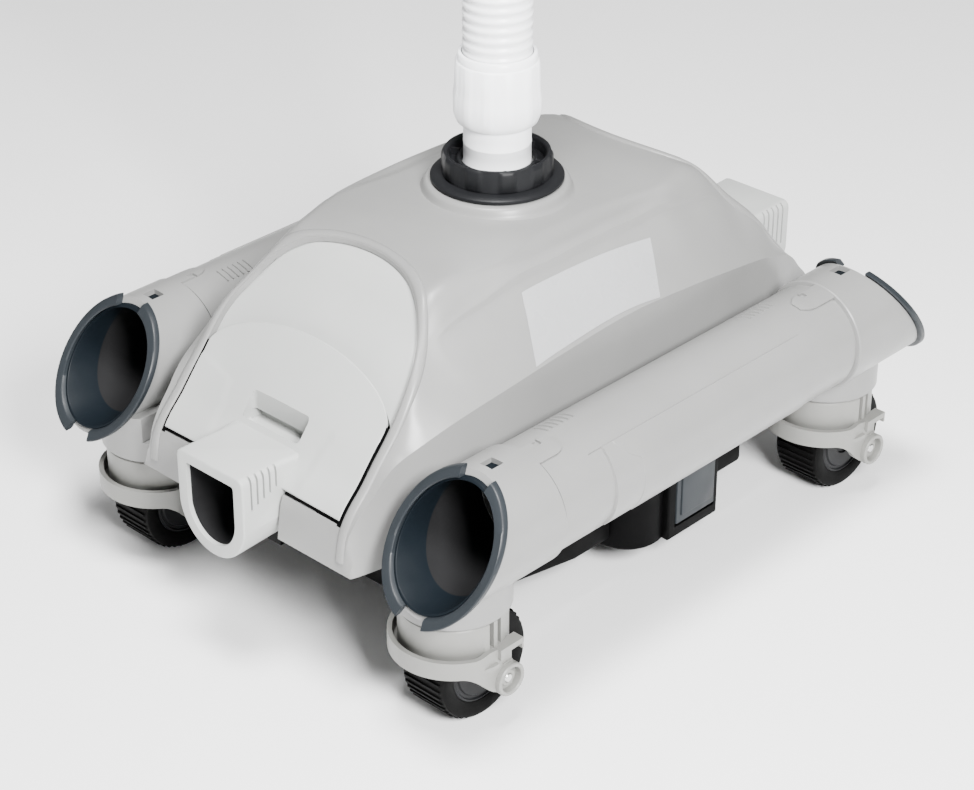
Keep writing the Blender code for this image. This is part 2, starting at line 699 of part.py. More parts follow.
def gear_outline(teeth, phase):
    """A ring of (y, z) points with plain tapering teeth."""
    pitch = GEAR_MODULE * teeth / 2
    root = pitch - 1.15 * GEAR_MODULE
    tip = pitch + 0.85 * GEAR_MODULE
    tooth = 2 * math.pi / teeth
    steps = ((-0.30, root), (-0.12, tip), (0.12, tip), (0.30, root))
    points = []
    for index in range(teeth):
        for share, radius in steps:
            angle = tooth * (index + share) + phase
            points.append((radius * math.cos(angle), radius * math.sin(angle)))
    return points


def add_gear(bm, teeth, phase, x, centre_z):
    """A toothed plate across the X axis."""
    for vert in add_prism(bm, gear_outline(teeth, phase), x[0], x[1]):
        y, z, depth = vert.co
        vert.co = (depth, y, z + centre_z)


def turbine_wheel():
    """The paddle wheel in the inlet, its shaft and its pinion."""
    centre = (0.0, 0.0, TURBINE_Z)
    bm = bmesh.new()
    add_turned(bm, solid(0.0020, -0.0190, GEAR_X[1] + 0.001), SMALL_ROUND, "X", centre)
    rotor = make_object("turbine_wheel", bm, MATERIALS["charcoal"], centre)
    join(rotor, lambda bm: add_turned(bm, solid(0.0045, -0.0095, 0.0095), SMALL_ROUND, "X", centre))
    paddles = 6
    for step in range(paddles // 2):
        turn = Matrix.Rotation(math.pi * step / (paddles / 2), 4, "X")
        place = Matrix.Translation(centre) @ turn
        join(rotor, lambda bm, p=place: bmesh.ops.transform(
            bm, matrix=p, verts=add_box(bm, (-0.0085, 0.0085), (-0.0006, 0.0006), (-0.0125, 0.0125))))
    join(rotor, lambda bm: add_gear(bm, PINION_TEETH, math.pi / 2, GEAR_X, TURBINE_Z))
    return rotor


def gear_axis_z():
    return TURBINE_Z - GEAR_MODULE * (PINION_TEETH + GEAR_TEETH) / 2


def timer_gear():
    """The slow gear that the turbine's pinion turns."""
    centre = (0.0, 0.0, gear_axis_z())
    bm = bmesh.new()
    gap_phase = math.pi / 2 + math.pi / GEAR_TEETH
    add_gear(bm, GEAR_TEETH, gap_phase, GEAR_X, centre[2])
    gear = make_object("timer_gear", bm, MATERIALS["ring"], centre)
    cut(gear, lambda bm: add_turned(bm, solid(0.0033, 0.0, 0.05), SMALL_ROUND, "X", centre))
    return gear


def gear_post():
    """The fixed pin that the slow gear turns on, with its foot on the inlet."""
    bm = bmesh.new()
    add_turned(bm, [(0.0, 0.0200), (0.0050, 0.0200), (0.0050, 0.0230), (0.0030, 0.0230),
                    (0.0030, 0.0320), (0.0, 0.0320)], SMALL_ROUND, "X", (0.0, 0.0, gear_axis_z()))
    return make_object("gear_post", bm, MATERIALS["steel"])


def diverter_flap():
    """The flap that sends the water to one nozzle or the other."""
    centre = (0.0, 0.0, FLAP_AXIS_Z)
    bm = bmesh.new()
    add_turned(bm, solid(0.0020, -0.0210, 0.0210), SMALL_ROUND, "X", centre)
    flap = make_object("diverter_flap", bm, MATERIALS["ring"], centre)
    join(flap, lambda bm: add_box(bm, (-0.0080, 0.0080), (-0.0008, 0.0008),
                                  (FLAP_AXIS_Z - 0.0220, FLAP_AXIS_Z)))
    return flap


# ------------------------------------------------------------------ assembly
def build():
    upper_housing()
    lower_chassis()
    nozzle_cover("front_nozzle_cover", -1, FRONT_SNOUT_Y)
    nozzle_cover("rear_nozzle_cover", 1, REAR_SNOUT_Y)
    for side, hand in ((-1, "left"), (1, "right")):
        duct(hand + "_duct", side)
        side_pod(hand + "_pod", side)
        side_door(hand + "_door", side)
        for end, place in ((-1, "front"), (1, "rear")):
            corner = place + "_" + hand
            duct_end("duct_end_" + corner, side, end)
            mouth_ring("mouth_ring_" + corner, side, end)
            caster_fork("caster_fork_" + corner, side, end)
            caster_axle("caster_axle_" + corner, side, end)
            wheel_tyre("tyre_" + corner, side, end)
            wheel_hub("wheel_hub_" + corner, side, end)
            chassis_screw("screw_" + corner, side, end)
    swivel_flange()
    locking_ring()
    hose_stub()
    hose_nut()
    hose_tube()
    hose_connector()
    inlet_manifold()
    turbine_wheel()
    timer_gear()
    gear_post()
    diverter_flap()


for old in list(bpy.data.objects):
    bpy.data.objects.remove(old)

MATERIALS = {
    "shell": material("grey_shell", (0.52, 0.52, 0.50), 0.38),
    "cover": material("pale_cover", (0.60, 0.60, 0.58), 0.40),
    "fork": material("caster_grey", (0.50, 0.50, 0.48), 0.42),
    "ring": material("blue_grey", (0.075, 0.105, 0.135), 0.40),
    "charcoal": material("charcoal", (0.035, 0.038, 0.042), 0.45),
    "black": material("black_plastic", (0.012, 0.012, 0.013), 0.50),
    "white": material("white_plastic", (0.78, 0.79, 0.80), 0.35),
    "steel": material("stainless", (0.55, 0.55, 0.55), 0.30, 1.0),
    "dark": material("cutter_dark", (0.02, 0.02, 0.02), 0.60),
}

build()
for piece in bpy.data.objects:
    piece.location.y += FRAME_SHIFT
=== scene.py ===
# %% [markdown]
# # A pool cleaner on four casters
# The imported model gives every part's place, its joints and its outer size. This lesson
# builds the visible pieces around it: a moulded housing, two side ducts, four casters,
# a swivel and a length of hose. Each piece rides on the body that carries it.

import math

import bmesh
import bpy
from mathutils import Matrix, Vector


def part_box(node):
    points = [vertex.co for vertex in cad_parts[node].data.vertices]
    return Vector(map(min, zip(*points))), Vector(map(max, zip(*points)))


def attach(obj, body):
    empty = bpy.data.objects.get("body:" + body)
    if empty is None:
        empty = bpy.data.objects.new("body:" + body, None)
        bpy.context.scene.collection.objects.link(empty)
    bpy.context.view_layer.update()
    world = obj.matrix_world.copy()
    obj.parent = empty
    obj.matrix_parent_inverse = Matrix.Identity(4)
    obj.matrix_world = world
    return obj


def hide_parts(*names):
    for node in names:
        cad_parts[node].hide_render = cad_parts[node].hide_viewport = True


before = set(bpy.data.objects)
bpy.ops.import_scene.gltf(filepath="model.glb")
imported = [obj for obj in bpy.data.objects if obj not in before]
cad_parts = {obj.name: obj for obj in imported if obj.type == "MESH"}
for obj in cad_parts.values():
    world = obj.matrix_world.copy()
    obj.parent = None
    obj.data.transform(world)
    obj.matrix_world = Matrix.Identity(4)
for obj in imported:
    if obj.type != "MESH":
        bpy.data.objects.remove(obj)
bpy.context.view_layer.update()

# %% [markdown]
# Drawings of moulded parts are read in millimetres from one axis. Here that axis is the
# hose, so every piece is drawn in millimetres from it, and one matrix carries the
# finished mesh into the frame. The object itself stays at the origin.

# %% Units and the hose axis
low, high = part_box("hose_stub")
HOSE_Y = (low.y + high.y) / 2
INTO_FRAME = Matrix.Translation((0.0, HOSE_Y, 0.0)) @ Matrix.Scale(0.001, 4)
FULL_TURN = 2 * math.pi
ENDS = ((-1, "front"), (1, "rear"))
SIDES = ((-1, "left"), (1, "right"))


def box_mm(node):
    """A node's lowest and highest corners in millimetres from the hose axis."""
    a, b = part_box(node)
    back = INTO_FRAME.inverted()
    return back @ a, back @ b


low, high = box_mm("right_duct")
DUCT_X, DUCT_Z, DUCT_R, SEAM_Y = (low.x + high.x) / 2, (low.z + high.z) / 2, (high.z - low.z) / 2, high.y
print(f"hose axis y {HOSE_Y:.4f} m, duct axis x {DUCT_X:.1f} z {DUCT_Z:.1f} radius {DUCT_R:.1f} mm")

# %% [markdown]
# The camera stands to the front right, well above the crown, and looks down about
# thirty degrees through a long lens. A long lens keeps the near and far wheels almost
# the same size, as in a product view.

# %% Camera
camera = bpy.data.objects.new("camera", bpy.data.cameras.new("camera"))
bpy.context.scene.collection.objects.link(camera)
camera.location = (0.9829, -1.0540, 0.9215)
aim = Vector((-0.00085, -0.01981, 0.09104))
camera.rotation_euler = (aim - camera.location).to_track_quat("-Z", "Y").to_euler()
camera.data.sensor_width = 36.0
camera.data.angle = math.radians(21.571)
bpy.context.scene.camera = camera
print("camera distance", round((aim - camera.location).length, 3))

# %% [markdown]
# Moulded plastic is never one flat colour. A fine grain scatters light, a slow drift in
# tone comes from the melt, and handling leaves some places smoother than others. All
# three come from noise on object coordinates, so they stay put when a piece moves. The
# base colours are low, because the lights at the end of the lesson are strong.


# %% Plastic finishes
def link(tree, source, target):
    tree.links.new(source, target)


def noise(tree, coordinates, scale, detail=2.0):
    texture = tree.nodes.new("ShaderNodeTexNoise")
    texture.inputs["Scale"].default_value = scale
    texture.inputs["Detail"].default_value = detail
    link(tree, coordinates, texture.inputs["Vector"])
    return texture.outputs["Fac"]


def spread(tree, value, low, high):
    """Stretch a noise value, which stays near the middle, over a range."""
    node = tree.nodes.new("ShaderNodeMapRange")
    node.inputs["From Min"].default_value = 0.3
    node.inputs["From Max"].default_value = 0.7
    node.inputs["To Min"].default_value = low
    node.inputs["To Max"].default_value = high
    link(tree, value, node.inputs["Value"])
    return node.outputs["Result"]


def finish(name, colour, roughness, drift=0.05, grain=0.10, grain_scale=1800.0, metallic=0.0, coat=0.0,
           specular=0.35):
    """A Principled material with grain, a drift in tone and uneven gloss."""
    material = bpy.data.materials.new(name)
    material.use_nodes = True
    tree = material.node_tree
    shader = tree.nodes["Principled BSDF"]
    place = tree.nodes.new("ShaderNodeTexCoord").outputs["Object"]
    mix = tree.nodes.new("ShaderNodeMix")
    mix.data_type = "RGBA"
    for socket, share in ((6, 1.0 - drift), (7, 1.0 + drift)):
        mix.inputs[socket].default_value = (*[min(1.0, c * share) for c in colour], 1.0)
    link(tree, spread(tree, noise(tree, place, 14.0, 4.0), 0.0, 1.0), mix.inputs["Factor"])
    link(tree, mix.outputs[2], shader.inputs["Base Color"])
    gloss = spread(tree, noise(tree, place, 60.0, 5.0), roughness - 0.05, roughness + 0.06)
    link(tree, gloss, shader.inputs["Roughness"])
    bump = tree.nodes.new("ShaderNodeBump")
    bump.inputs["Strength"].default_value = grain
    bump.inputs["Distance"].default_value = 0.0002
    link(tree, noise(tree, place, grain_scale), bump.inputs["Height"])
    link(tree, bump.outputs["Normal"], shader.inputs["Normal"])
    shader.inputs["Metallic"].default_value = metallic
    shader.inputs["Specular IOR Level"].default_value = specular
    shader.inputs["Coat Weight"].default_value = coat
    shader.inputs["Coat Roughness"].default_value = 0.25
    return material


FINISHES = {
    "shell": finish("satin_grey_shell", (0.200, 0.200, 0.196), 0.34, grain=0.12, coat=0.12),
    "cover": finish("pale_hatch_grey", (0.380, 0.388, 0.378), 0.42, grain=0.10),
    "caster": finish("caster_grey", (0.205, 0.205, 0.193), 0.42, grain=0.14),
    # painted shade: this near-black inner grey stands for the shade in bores and duct insides
    "inner": finish("inner_painted_shade_grey", (0.011, 0.011, 0.0115), 0.50, specular=0.08),
    "blue_grey": finish("blue_grey_lip", (0.0155, 0.0185, 0.0215), 0.36, grain=0.12, specular=0.20),
    "charcoal": finish("charcoal_ring", (0.008, 0.0083, 0.0092), 0.40, grain=0.15, specular=0.14),
    "black": finish("black_underbody", (0.0015, 0.0015, 0.0016), 0.45, drift=0.2, grain=0.2, specular=0.04),
    "tyre": finish("black_tread", (0.0022, 0.0022, 0.0022), 0.55, drift=0.2, grain=0.35, grain_scale=1100.0,
                   specular=0.05),
    "white": finish("white_hose_plastic", (0.880, 0.890, 0.905), 0.34, drift=0.02, grain=0.05, coat=0.15),
    "steel": finish("brushed_steel", (0.560, 0.560, 0.550), 0.30, grain=0.2, metallic=1.0),
}
# painted shade: the sleeve is a darker copy of the blue-grey lip, for the shade inside the collar
SLEEVE_SHADE = finish("sleeve_painted_shade", (0.004, 0.0062, 0.0085), 0.45, grain=0.1, specular=0.10)
LABEL = finish("label_film", (0.320, 0.323, 0.328), 0.28, drift=0.015, grain=0.03, coat=0.3)
print("finishes", len(FINISHES) + 2)

# %% [markdown]
# A few helpers keep each later cell short. Turned pieces come from spin, flat ones from
# an outline that is extruded, and curved sheets from a grid whose rows and columns are
# laid on the surface. Edges are bevelled, because real mouldings have no knife edges.


# %% Modelling helpers
def tidy(bm, merge=0.002):
    """Merge doubles, then point the faces outwards."""
    bmesh.ops.remove_doubles(bm, verts=bm.verts, dist=merge)
    bmesh.ops.recalc_face_normals(bm, faces=bm.faces)


def round_edges(bm, width, steps=2, sharper_than=32.0):
    """Bevel every edge that turns by more than an angle."""
    tidy(bm)
    limit = math.radians(sharper_than)
    sharp = [e for e in bm.edges if len(e.link_faces) == 2 and e.calc_face_angle(0.0) > limit]
    bmesh.ops.bevel(bm, geom=sharp, offset=width, offset_type="OFFSET", segments=steps, profile=0.5,
                    affect="EDGES", clamp_overlap=True, material=-1)


AXES = {"X": Matrix.Rotation(math.pi / 2, 3, "Y"), "Y": Matrix.Rotation(-math.pi / 2, 3, "X"),
        "Z": Matrix.Identity(3)}


def turned(bm, profile, steps=96, axis="Z", centre=(0, 0, 0), start=0.0, sweep=360.0):
    """Spin a profile of (radius, height) points, closed unless it ends on the axis."""
    before = set(bm.verts)
    verts = [bm.verts.new((r, 0.0, h)) for r, h in profile]
    pairs = list(zip(verts, verts[1:]))
    if profile[0][0] > 0.0:
        pairs.append((verts[-1], verts[0]))
    edges = [bm.edges.new(pair) for pair in pairs]
    whole = sweep >= 360.0
    if not whole:
        bmesh.ops.contextual_create(bm, geom=edges)
    faces = list({f for v in verts for f in v.link_faces})
    made = bmesh.ops.spin(bm, geom=verts + edges + faces, cent=(0, 0, 0), axis=(0, 0, 1), steps=steps,
                          angle=FULL_TURN if whole else math.radians(sweep), use_merge=whole)
    verts = [v for v in bm.verts if v not in before]
    turn = AXES[axis] @ Matrix.Rotation(math.radians(start), 3, "Z")
    bmesh.ops.rotate(bm, verts=verts, cent=(0, 0, 0), matrix=turn)
    bmesh.ops.translate(bm, verts=verts, vec=centre)
    return verts


def rod(radius, low, high):
    return [(0.0, low), (radius, low), (radius, high), (0.0, high)]


def pipe(inner, outer, low, high):
    return [(inner, low), (outer, low), (outer, high), (inner, high)]


def block(bm, x, y, z):
    """A box between three (low, high) pairs."""
    centre = Vector((sum(x), sum(y), sum(z))) / 2
    size = (abs(x[1] - x[0]), abs(y[1] - y[0]), abs(z[1] - z[0]), 1.0)
    place = Matrix.Translation(centre) @ Matrix.Diagonal(size)
    return bmesh.ops.create_cube(bm, size=1.0, matrix=place)["verts"]


def round_the_hose(bm, verts, share):
    """Turn vertices about the hose axis by a share of a full turn."""
    turn = Matrix.Rotation(FULL_TURN * share, 3, "Z")
    bmesh.ops.rotate(bm, verts=verts, cent=(0, 0, 0), matrix=turn)


def plate(bm, outline, low, high):
    """A flat outline in x and y, extruded from one height to another."""
    bottom = [bm.verts.new((x, y, low)) for x, y in outline]
    lifted = bmesh.ops.extrude_face_region(bm, geom=[bm.faces.new(bottom)])
    top = [v for v in lifted["geom"] if isinstance(v, bmesh.types.BMVert)]
    bmesh.ops.translate(bm, verts=top, vec=(0, 0, high - low))
    return bottom + top


def laid_grid(bm, across, along, place):
    """A grid whose vertices are laid at place(u, v) for each u across and v along."""
    before = set(bm.verts)
    bmesh.ops.create_grid(bm, x_segments=len(across) - 1, y_segments=len(along) - 1, size=1.0)
    verts = [v for v in bm.verts if v not in before]
    for index, vert in enumerate(verts):
        vert.co = place(across[index % len(across)], along[index // len(across)])
    return verts


def thicken(bm, depth):
    """Give an open sheet a wall below it."""
    tidy(bm)
    up = sum(f.normal.z * f.calc_area() for f in bm.faces)
    if up < 0:
        bmesh.ops.reverse_faces(bm, faces=bm.faces)
    bmesh.ops.solidify(bm, geom=bm.faces[:], thickness=depth)
    bmesh.ops.recalc_face_normals(bm, faces=bm.faces)


def raw(bm, name="cutter"):
    """An unfinished object from a bmesh, still in millimetres."""
    mesh = bpy.data.meshes.new(name)
    bm.to_mesh(mesh)
    bm.free()
    obj = bpy.data.objects.new(name, mesh)
    bpy.context.scene.collection.objects.link(obj)
    return obj


def built(draw, name="cutter"):
    """An unfinished object from a function that draws into a bmesh."""
    bm = bmesh.new()
    draw(bm)
    tidy(bm)
    return raw(bm, name)


def boolean(obj, other, operation="DIFFERENCE"):
    """Apply one Boolean and remove the second object."""
    step = obj.modifiers.new("boolean", "BOOLEAN")
    step.operation, step.solver, step.object = operation, "MANIFOLD", other
    bpy.context.view_layer.update()
    graph = bpy.context.evaluated_depsgraph_get()
    mesh = bpy.data.meshes.new_from_object(obj.evaluated_get(graph))
    obj.modifiers.clear()
    if len(mesh.polygons) < 4:
        raise ValueError(f"a Boolean on {obj.name} left nothing")
    obj.data = mesh
    bpy.data.objects.remove(other)
    return obj


def soften(obj, width, steps=2, sharper_than=35.0):
    """Bevel the sharp edges of an unfinished object."""
    bm = bmesh.new()
    bm.from_mesh(obj.data)
    round_edges(bm, width, steps, sharper_than)
    tidy(bm)
    bm.to_mesh(obj.data)
    bm.free()
    return obj


def piece(obj, slot, body, *nodes, smooth=38.0, material=None):
    """Finish an object: into the frame, shaded, painted, riding on its body."""
    obj.data.transform(INTO_FRAME)
    obj.data.materials.clear()
    obj.data.materials.append(material or FINISHES[slot])
    obj.data.shade_smooth()
    obj.data.set_sharp_from_angle(angle=math.radians(smooth))
    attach(obj, body)
    if nodes:
        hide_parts(*nodes)
    return obj


def moulded(name, slot, body, draw, *nodes, bevel=0.0, smooth=38.0, material=None):
    """The usual path: draw, bevel, finish."""
    obj = built(draw, name)
    if bevel:
        soften(obj, bevel)
    return piece(obj, slot, body, *nodes, smooth=smooth, material=material)


MAIN = "cleaner_body"

# %% [markdown]
# The hose is a blow-moulded tube with a rib every few millimetres. Its ribbed outline is
# one profile, spun about the hose axis. Water pressure and the pump line hold it upright.

# %% Hose and its far cuff
low, high = box_mm("hose_tube")
HOSE_LOW, HOSE_HIGH, HOSE_R = low.z, high.z, (high.x - low.x) / 2
RIB_PITCH = 6.2
ribs = int((HOSE_HIGH - HOSE_LOW) / RIB_PITCH)
profile = [(HOSE_R - 3.2, HOSE_LOW)]
for rib in range(ribs):
    z = HOSE_LOW + (HOSE_HIGH - HOSE_LOW) * rib / ribs
    for share, drop in ((0.0, 1.3), (0.14, 1.1), (0.30, 0.15), (0.50, 0.0), (0.70, 0.15), (0.86, 1.1)):
        profile.append((HOSE_R - drop, z + RIB_PITCH * share))
profile += [(HOSE_R - 1.3, HOSE_HIGH), (HOSE_R - 3.2, HOSE_HIGH)]
hose = moulded("ribbed_hose", "white", "swivel_pipe", lambda bm: turned(bm, profile, 72), "hose_tube",
               smooth=60)

low, high = box_mm("hose_connector")
CUFF_RIBS = 24
cuff_profile = [(16.5, low.z), (25.6, low.z), (26.4, low.z + 1), (26.4, low.z + 21), (25.4, low.z + 22.5),
                (23.5, low.z + 26), (22.9, high.z - 3), (22.4, high.z), (16.5, high.z)]


def draw_cuff(bm):
    turned(bm, cuff_profile, 96)
    for turn in range(CUFF_RIBS):
        verts = block(bm, (25.9, 26.6), (-1.1, 1.1), (low.z + 3, low.z + 19))
        round_the_hose(bm, verts, turn / CUFF_RIBS)


cuff = moulded("hose_cuff", "white", "swivel_pipe", draw_cuff, "hose_connector", bevel=0.25)
line = [INTO_FRAME @ Vector((0, 0, HOSE_LOW + (HOSE_HIGH - HOSE_LOW) * step / 20)) for step in range(21)]
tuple(line[0])
print(f"hose {HOSE_HIGH - HOSE_LOW:.0f} mm long with {ribs} ribs")

# %% [markdown]
# The housing is one large moulding: a crown that falls at both ends, side walls that lean
# in from a ridge, and a short skirt. A formula for its height is easier to keep true
# than hundreds of hand-placed points, so the grid is laid on crown, ridge and wall
# curves taken along the length. The skirt flares towards the foot, most at the corners.


# %% Height of the housing
def smooth_line(points):
    """A smooth curve through (distance, value) points that never overshoots them."""
    secants = [(b[1] - a[1]) / (b[0] - a[0]) for a, b in zip(points, points[1:])]
    slopes = [0.0] + [0.0 if a * b <= 0 else 2 * a * b / (a + b) for a, b in zip(secants, secants[1:])]
    slopes.append(secants[-1])

    def value(distance):
        distance = min(max(abs(distance), points[0][0]), points[-1][0])
        for index in range(len(points) - 1):
            (x0, y0), (x1, y1) = points[index], points[index + 1]
            if distance <= x1:
                span = x1 - x0
                t = (distance - x0) / span
                return ((2 * t ** 3 - 3 * t ** 2 + 1) * y0 + (t ** 3 - 2 * t ** 2 + t) * span * slopes[index]
                        + (3 * t ** 2 - 2 * t ** 3) * y1 + (t ** 3 - t ** 2) * span * slopes[index + 1])
        return points[-1][1]
    return value


BODY_END, BODY_BOTTOM = 219.0, 95.0
crown = smooth_line(((0, 238.5), (80, 238.0), (105, 236.5), (118, 233), (127, 226), (136, 216.5),
                     (147, 205.5), (160, 190.3), (174, 172.6), (195, 145.6), (215, 119), (219, 95)))
ridge = smooth_line(((0, 189), (60, 184.5), (93, 180), (140, 170.5), (160, 164), (182.5, 155), (200, 148),
                     (219, 125)))
climb = smooth_line(((0, 1.40), (60, 1.48), (93, 1.32), (120, 1.25), (140, 1.16), (160, 1.30), (182.5, 0.50),
                     (219, 0.10)))
plan = smooth_line(((0, 110.3), (60, 109), (93, 107.3), (140, 101.5), (160, 97.5), (182.5, 92.3),
                    (200, 89.5), (219, 86)))
foot = smooth_line(((0, 110.3), (160, 110.3), (184, 100), (200, 96.5), (215, 93), (219, 91.5)))
lid_top = smooth_line(((0, 60.8), (20, 61), (41, 63.8), (70, 68.6), (100, 69.0), (127, 70.8)))
lid_edge = smooth_line(((0, 80.4), (30, 80.4), (60, 78.8), (90, 76.3), (124, 73.3), (219, 72.0)))
LID_END = 128.0


def ease(t):
    t = min(max(t, 0.0), 1.0)
    return t * t * (3 - 2 * t)


def skin_height(x, y):
    """Height of the housing's skin, with the eyelid crease along each shoulder."""
    x, far = abs(x), abs(y)
    top = crown(far) - 5.0 * (x / 80) ** 2 * min(1.0, (BODY_END - far) / 50)
    side = ridge(far) + climb(far) * (plan(far) - x)
    low = min(top, side)
    near = max(6.0 - abs(top - side), 0.0) / 6.0
    height = low - near * near * 6.0 / 4
    if far < LID_END:
        share = 1.0 - (far / LID_END) ** 2
        inner, outer = lid_top(far), lid_edge(far)
        if inner < x < outer:
            height -= 1.5 * share * math.sin(math.pi * (x - inner) / (outer - inner))
        beyond = x - outer
        height -= 4.4 * share ** 0.7 * ease(beyond / 1.4) * (1 - ease((beyond - 1.4) / 15))
    return max(height, BODY_BOTTOM)


def skin_point(x, y, lift=0.0):
    """A point above the skin, measured square to it."""
    step = 0.6
    slope_x = (skin_height(x + step, y) - skin_height(x - step, y)) / (2 * step)
    slope_y = (skin_height(x, y + step) - skin_height(x, y - step)) / (2 * step)
    normal = Vector((-slope_x, -slope_y, 1.0)).normalized()
    return Vector((x, y, skin_height(x, y))) + normal * lift


print("crown", skin_height(0, 0), "shoulder", round(skin_height(80, 0), 1), "mm")

# %% [markdown]
# Two arches, front and rear, frame a sunken panel and a hatch below it. Both outlines are
# half ellipses on straight legs, so each can be written as y against x.

# %% Outlines of the arches
ARCH_HALF, ARCH_SPRING, ARCH_APEX, HATCH_APEX, HATCH_FOOT = 78.6, 174.0, 110.0, 156.5, 213.0


def arch_y(x, apex, half=ARCH_HALF):
    """Distance of an arch from the hose axis, at this x."""
    rise = math.sqrt(max(0.0, 1 - (x / half) ** 2))
    return ARCH_SPRING - (ARCH_SPRING - apex) * rise ** (0.9 if apex < 130 else 1.0)


def arch_path(end, steps=96):
    """The arch from its right foot to its left foot, as plan points."""
    legs = [(ARCH_HALF, y) for y in (218.0, 216.6, 215.2, 213.5, 211, 207, 202, 196, 189, 182)]
    bow = []
    for step in range(steps + 1):
        x = ARCH_HALF * math.cos(math.pi * step / steps)
        bow.append((x, arch_y(x, ARCH_APEX)))
    return [(x, end * y) for x, y in legs + bow + [(-x, y) for x, y in reversed(legs)]]


print("arch points", len(arch_path(-1)))

# %% [markdown]
# The grid's columns follow the two crease lines of the shoulder, so each crease is a
# crisp edge and not a row of steps. Its rows are closer together where the crown falls
# steeply. The skirt is the border, extruded down in three steps that spread to the foot.

# %% Housing shell
along = [0.0]
while along[-1] < BODY_END - 0.05:
    here = along[-1]
    fall = abs(crown(here + 0.5) - crown(here)) / 0.5 if here < BODY_END - 0.5 else 6.0
    along.append(min(BODY_END, here + 2.6 / math.sqrt(1 + fall * fall)))
along = [-y for y in reversed(along[1:])] + along
across = [step / 22 for step in range(22)] + [1 + step / 7 for step in range(7)]
across += [2.0, 2.25, 2.5, 2.75, 3.0] + [3 + step / 16 for step in range(1, 17)]
across = [-a for a in reversed(across[1:])] + across


def housing_point(column, y):
    """Columns 0 to 1 cross the crown, 1 to 2 the lid, 2 to 3 its lip, 3 to 4 the wall."""
    marks = (0.0, lid_top(y), lid_edge(y), lid_edge(y) + 1.4, plan(y))
    index = min(3, int(abs(column)))
    share = abs(column) - index
    x = math.copysign(marks[index] + (marks[index + 1] - marks[index]) * share, column)
    return Vector((x, y, skin_height(x, y)))


def draw_housing(bm):
    laid_grid(bm, across, along, housing_point)
    border = [e for e in bm.edges if e.is_boundary]
    for share in (0.28, 0.60, 1.0):
        skirt = bmesh.ops.extrude_edge_only(bm, edges=border)["geom"]
        border = [g for g in skirt if isinstance(g, bmesh.types.BMEdge)]
        for vert in [g for g in skirt if isinstance(g, bmesh.types.BMVert)]:
            side = plan(vert.co.y)
            top = skin_height(side, vert.co.y)
            if abs(vert.co.x) >= side - 0.01:
                reach = side + (foot(vert.co.y) - side) * ease(share * 1.1)
                vert.co.x = math.copysign(reach, vert.co.x)
            vert.co.z = top + (BODY_BOTTOM - 0.2 - top) * share
    thicken(bm, 3.0)
    for vert in bm.verts:
        vert.co.z = max(vert.co.z, BODY_BOTTOM - 0.2)


housing = built(draw_housing, "housing_shell")
for end, place in ENDS:
    outline = [(ARCH_HALF, end * HATCH_FOOT), *arch_path(end)[6:-6], (-ARCH_HALF, end * HATCH_FOOT)]
    boolean(housing, built(lambda bm: plate(bm, outline, 60, 300)))
    notch = sorted((end * 200.0, end * 230.0))
    boolean(housing, built(lambda bm: block(bm, (-30.2, 30.2), notch, (60, 124))))
boolean(housing, built(lambda bm: turned(bm, rod(21.0, 200, 260))))
piece(housing, "shell", MAIN, "upper_housing", smooth=28)
print("housing faces", len(housing.data.polygons))

# %% [markdown]
# Around each arch runs a raised lip with a rounded back. It is the same cross-section
# carried along the arch, standing square to the skin, so a grid laid along the path makes
# it in one step.


# %% Arch lips
LIP = ((0.1, -5.0), (0.0, -1.2), (0.25, 0.1), (0.9, 0.9), (2.0, 1.3), (4.2, 1.35), (5.6, 0.9), (6.4, 0.0),
       (6.8, -1.2), (7.0, -3.0))


def lip_point(path, shift, lift, index):
    """A point beside the path: shift along the ground outwards, lift off the skin."""
    x, y = path[index]
    before, after = path[max(0, index - 1)], path[min(len(path) - 1, index + 1)]
    run = Vector((after[0] - before[0], after[1] - before[1])).normalized()
    outwards = Vector((run.y, -run.x)) * (1 if path[0][1] < 0 else -1)
    x, y = x + outwards.x * shift, y + outwards.y * shift
    return skin_point(x, y, lift)


for end, place in ENDS:
    path = arch_path(end)
    lip = moulded(f"{place}_arch_lip", "shell", MAIN, lambda bm: (
        laid_grid(bm, list(range(len(LIP))), list(range(len(path))),
                  lambda u, v: lip_point(path, LIP[u][0], LIP[u][1], v)), thicken(bm, 1.2)), smooth=50)
print("lip faces", len(lip.data.polygons))

# %% [markdown]
# Inside the arch the surface steps down to a smooth panel, and below it sits the hatch,
# a hair proud of the housing. Both are sheets laid on the same skin formula at their own
# height, so their curves match the housing without fitting.

# %% Sunken panels and hatches
SPAN = [math.sin(math.pi / 2 * step / 36) for step in range(-36, 37)]


def draw_panel(bm, end):
    def place(u, v):
        x = (ARCH_HALF + 0.4) * u
        top, bottom = arch_y(x, ARCH_APEX, ARCH_HALF + 0.4), arch_y(x, HATCH_APEX, ARCH_HALF + 0.4) + 3.0
        return skin_point(x, end * (top + (bottom - top) * v), -3.8)
    laid_grid(bm, SPAN, [step / 30 for step in range(31)], place)
    thicken(bm, 1.5)


def facet(x, y):
    """A flat raised a hair on each side of the nozzle, as the mould's facets leave it."""
    x = abs(x)
    edge = 44.0 - 0.20 * (abs(y) - 184.0)
    top = 184.0 - 0.17 * (x - 44.0)
    return 0.55 * ease((x - edge) / 1.2) * ease((abs(y) - top) / 1.2)


HATCH_LIFT = 0.7


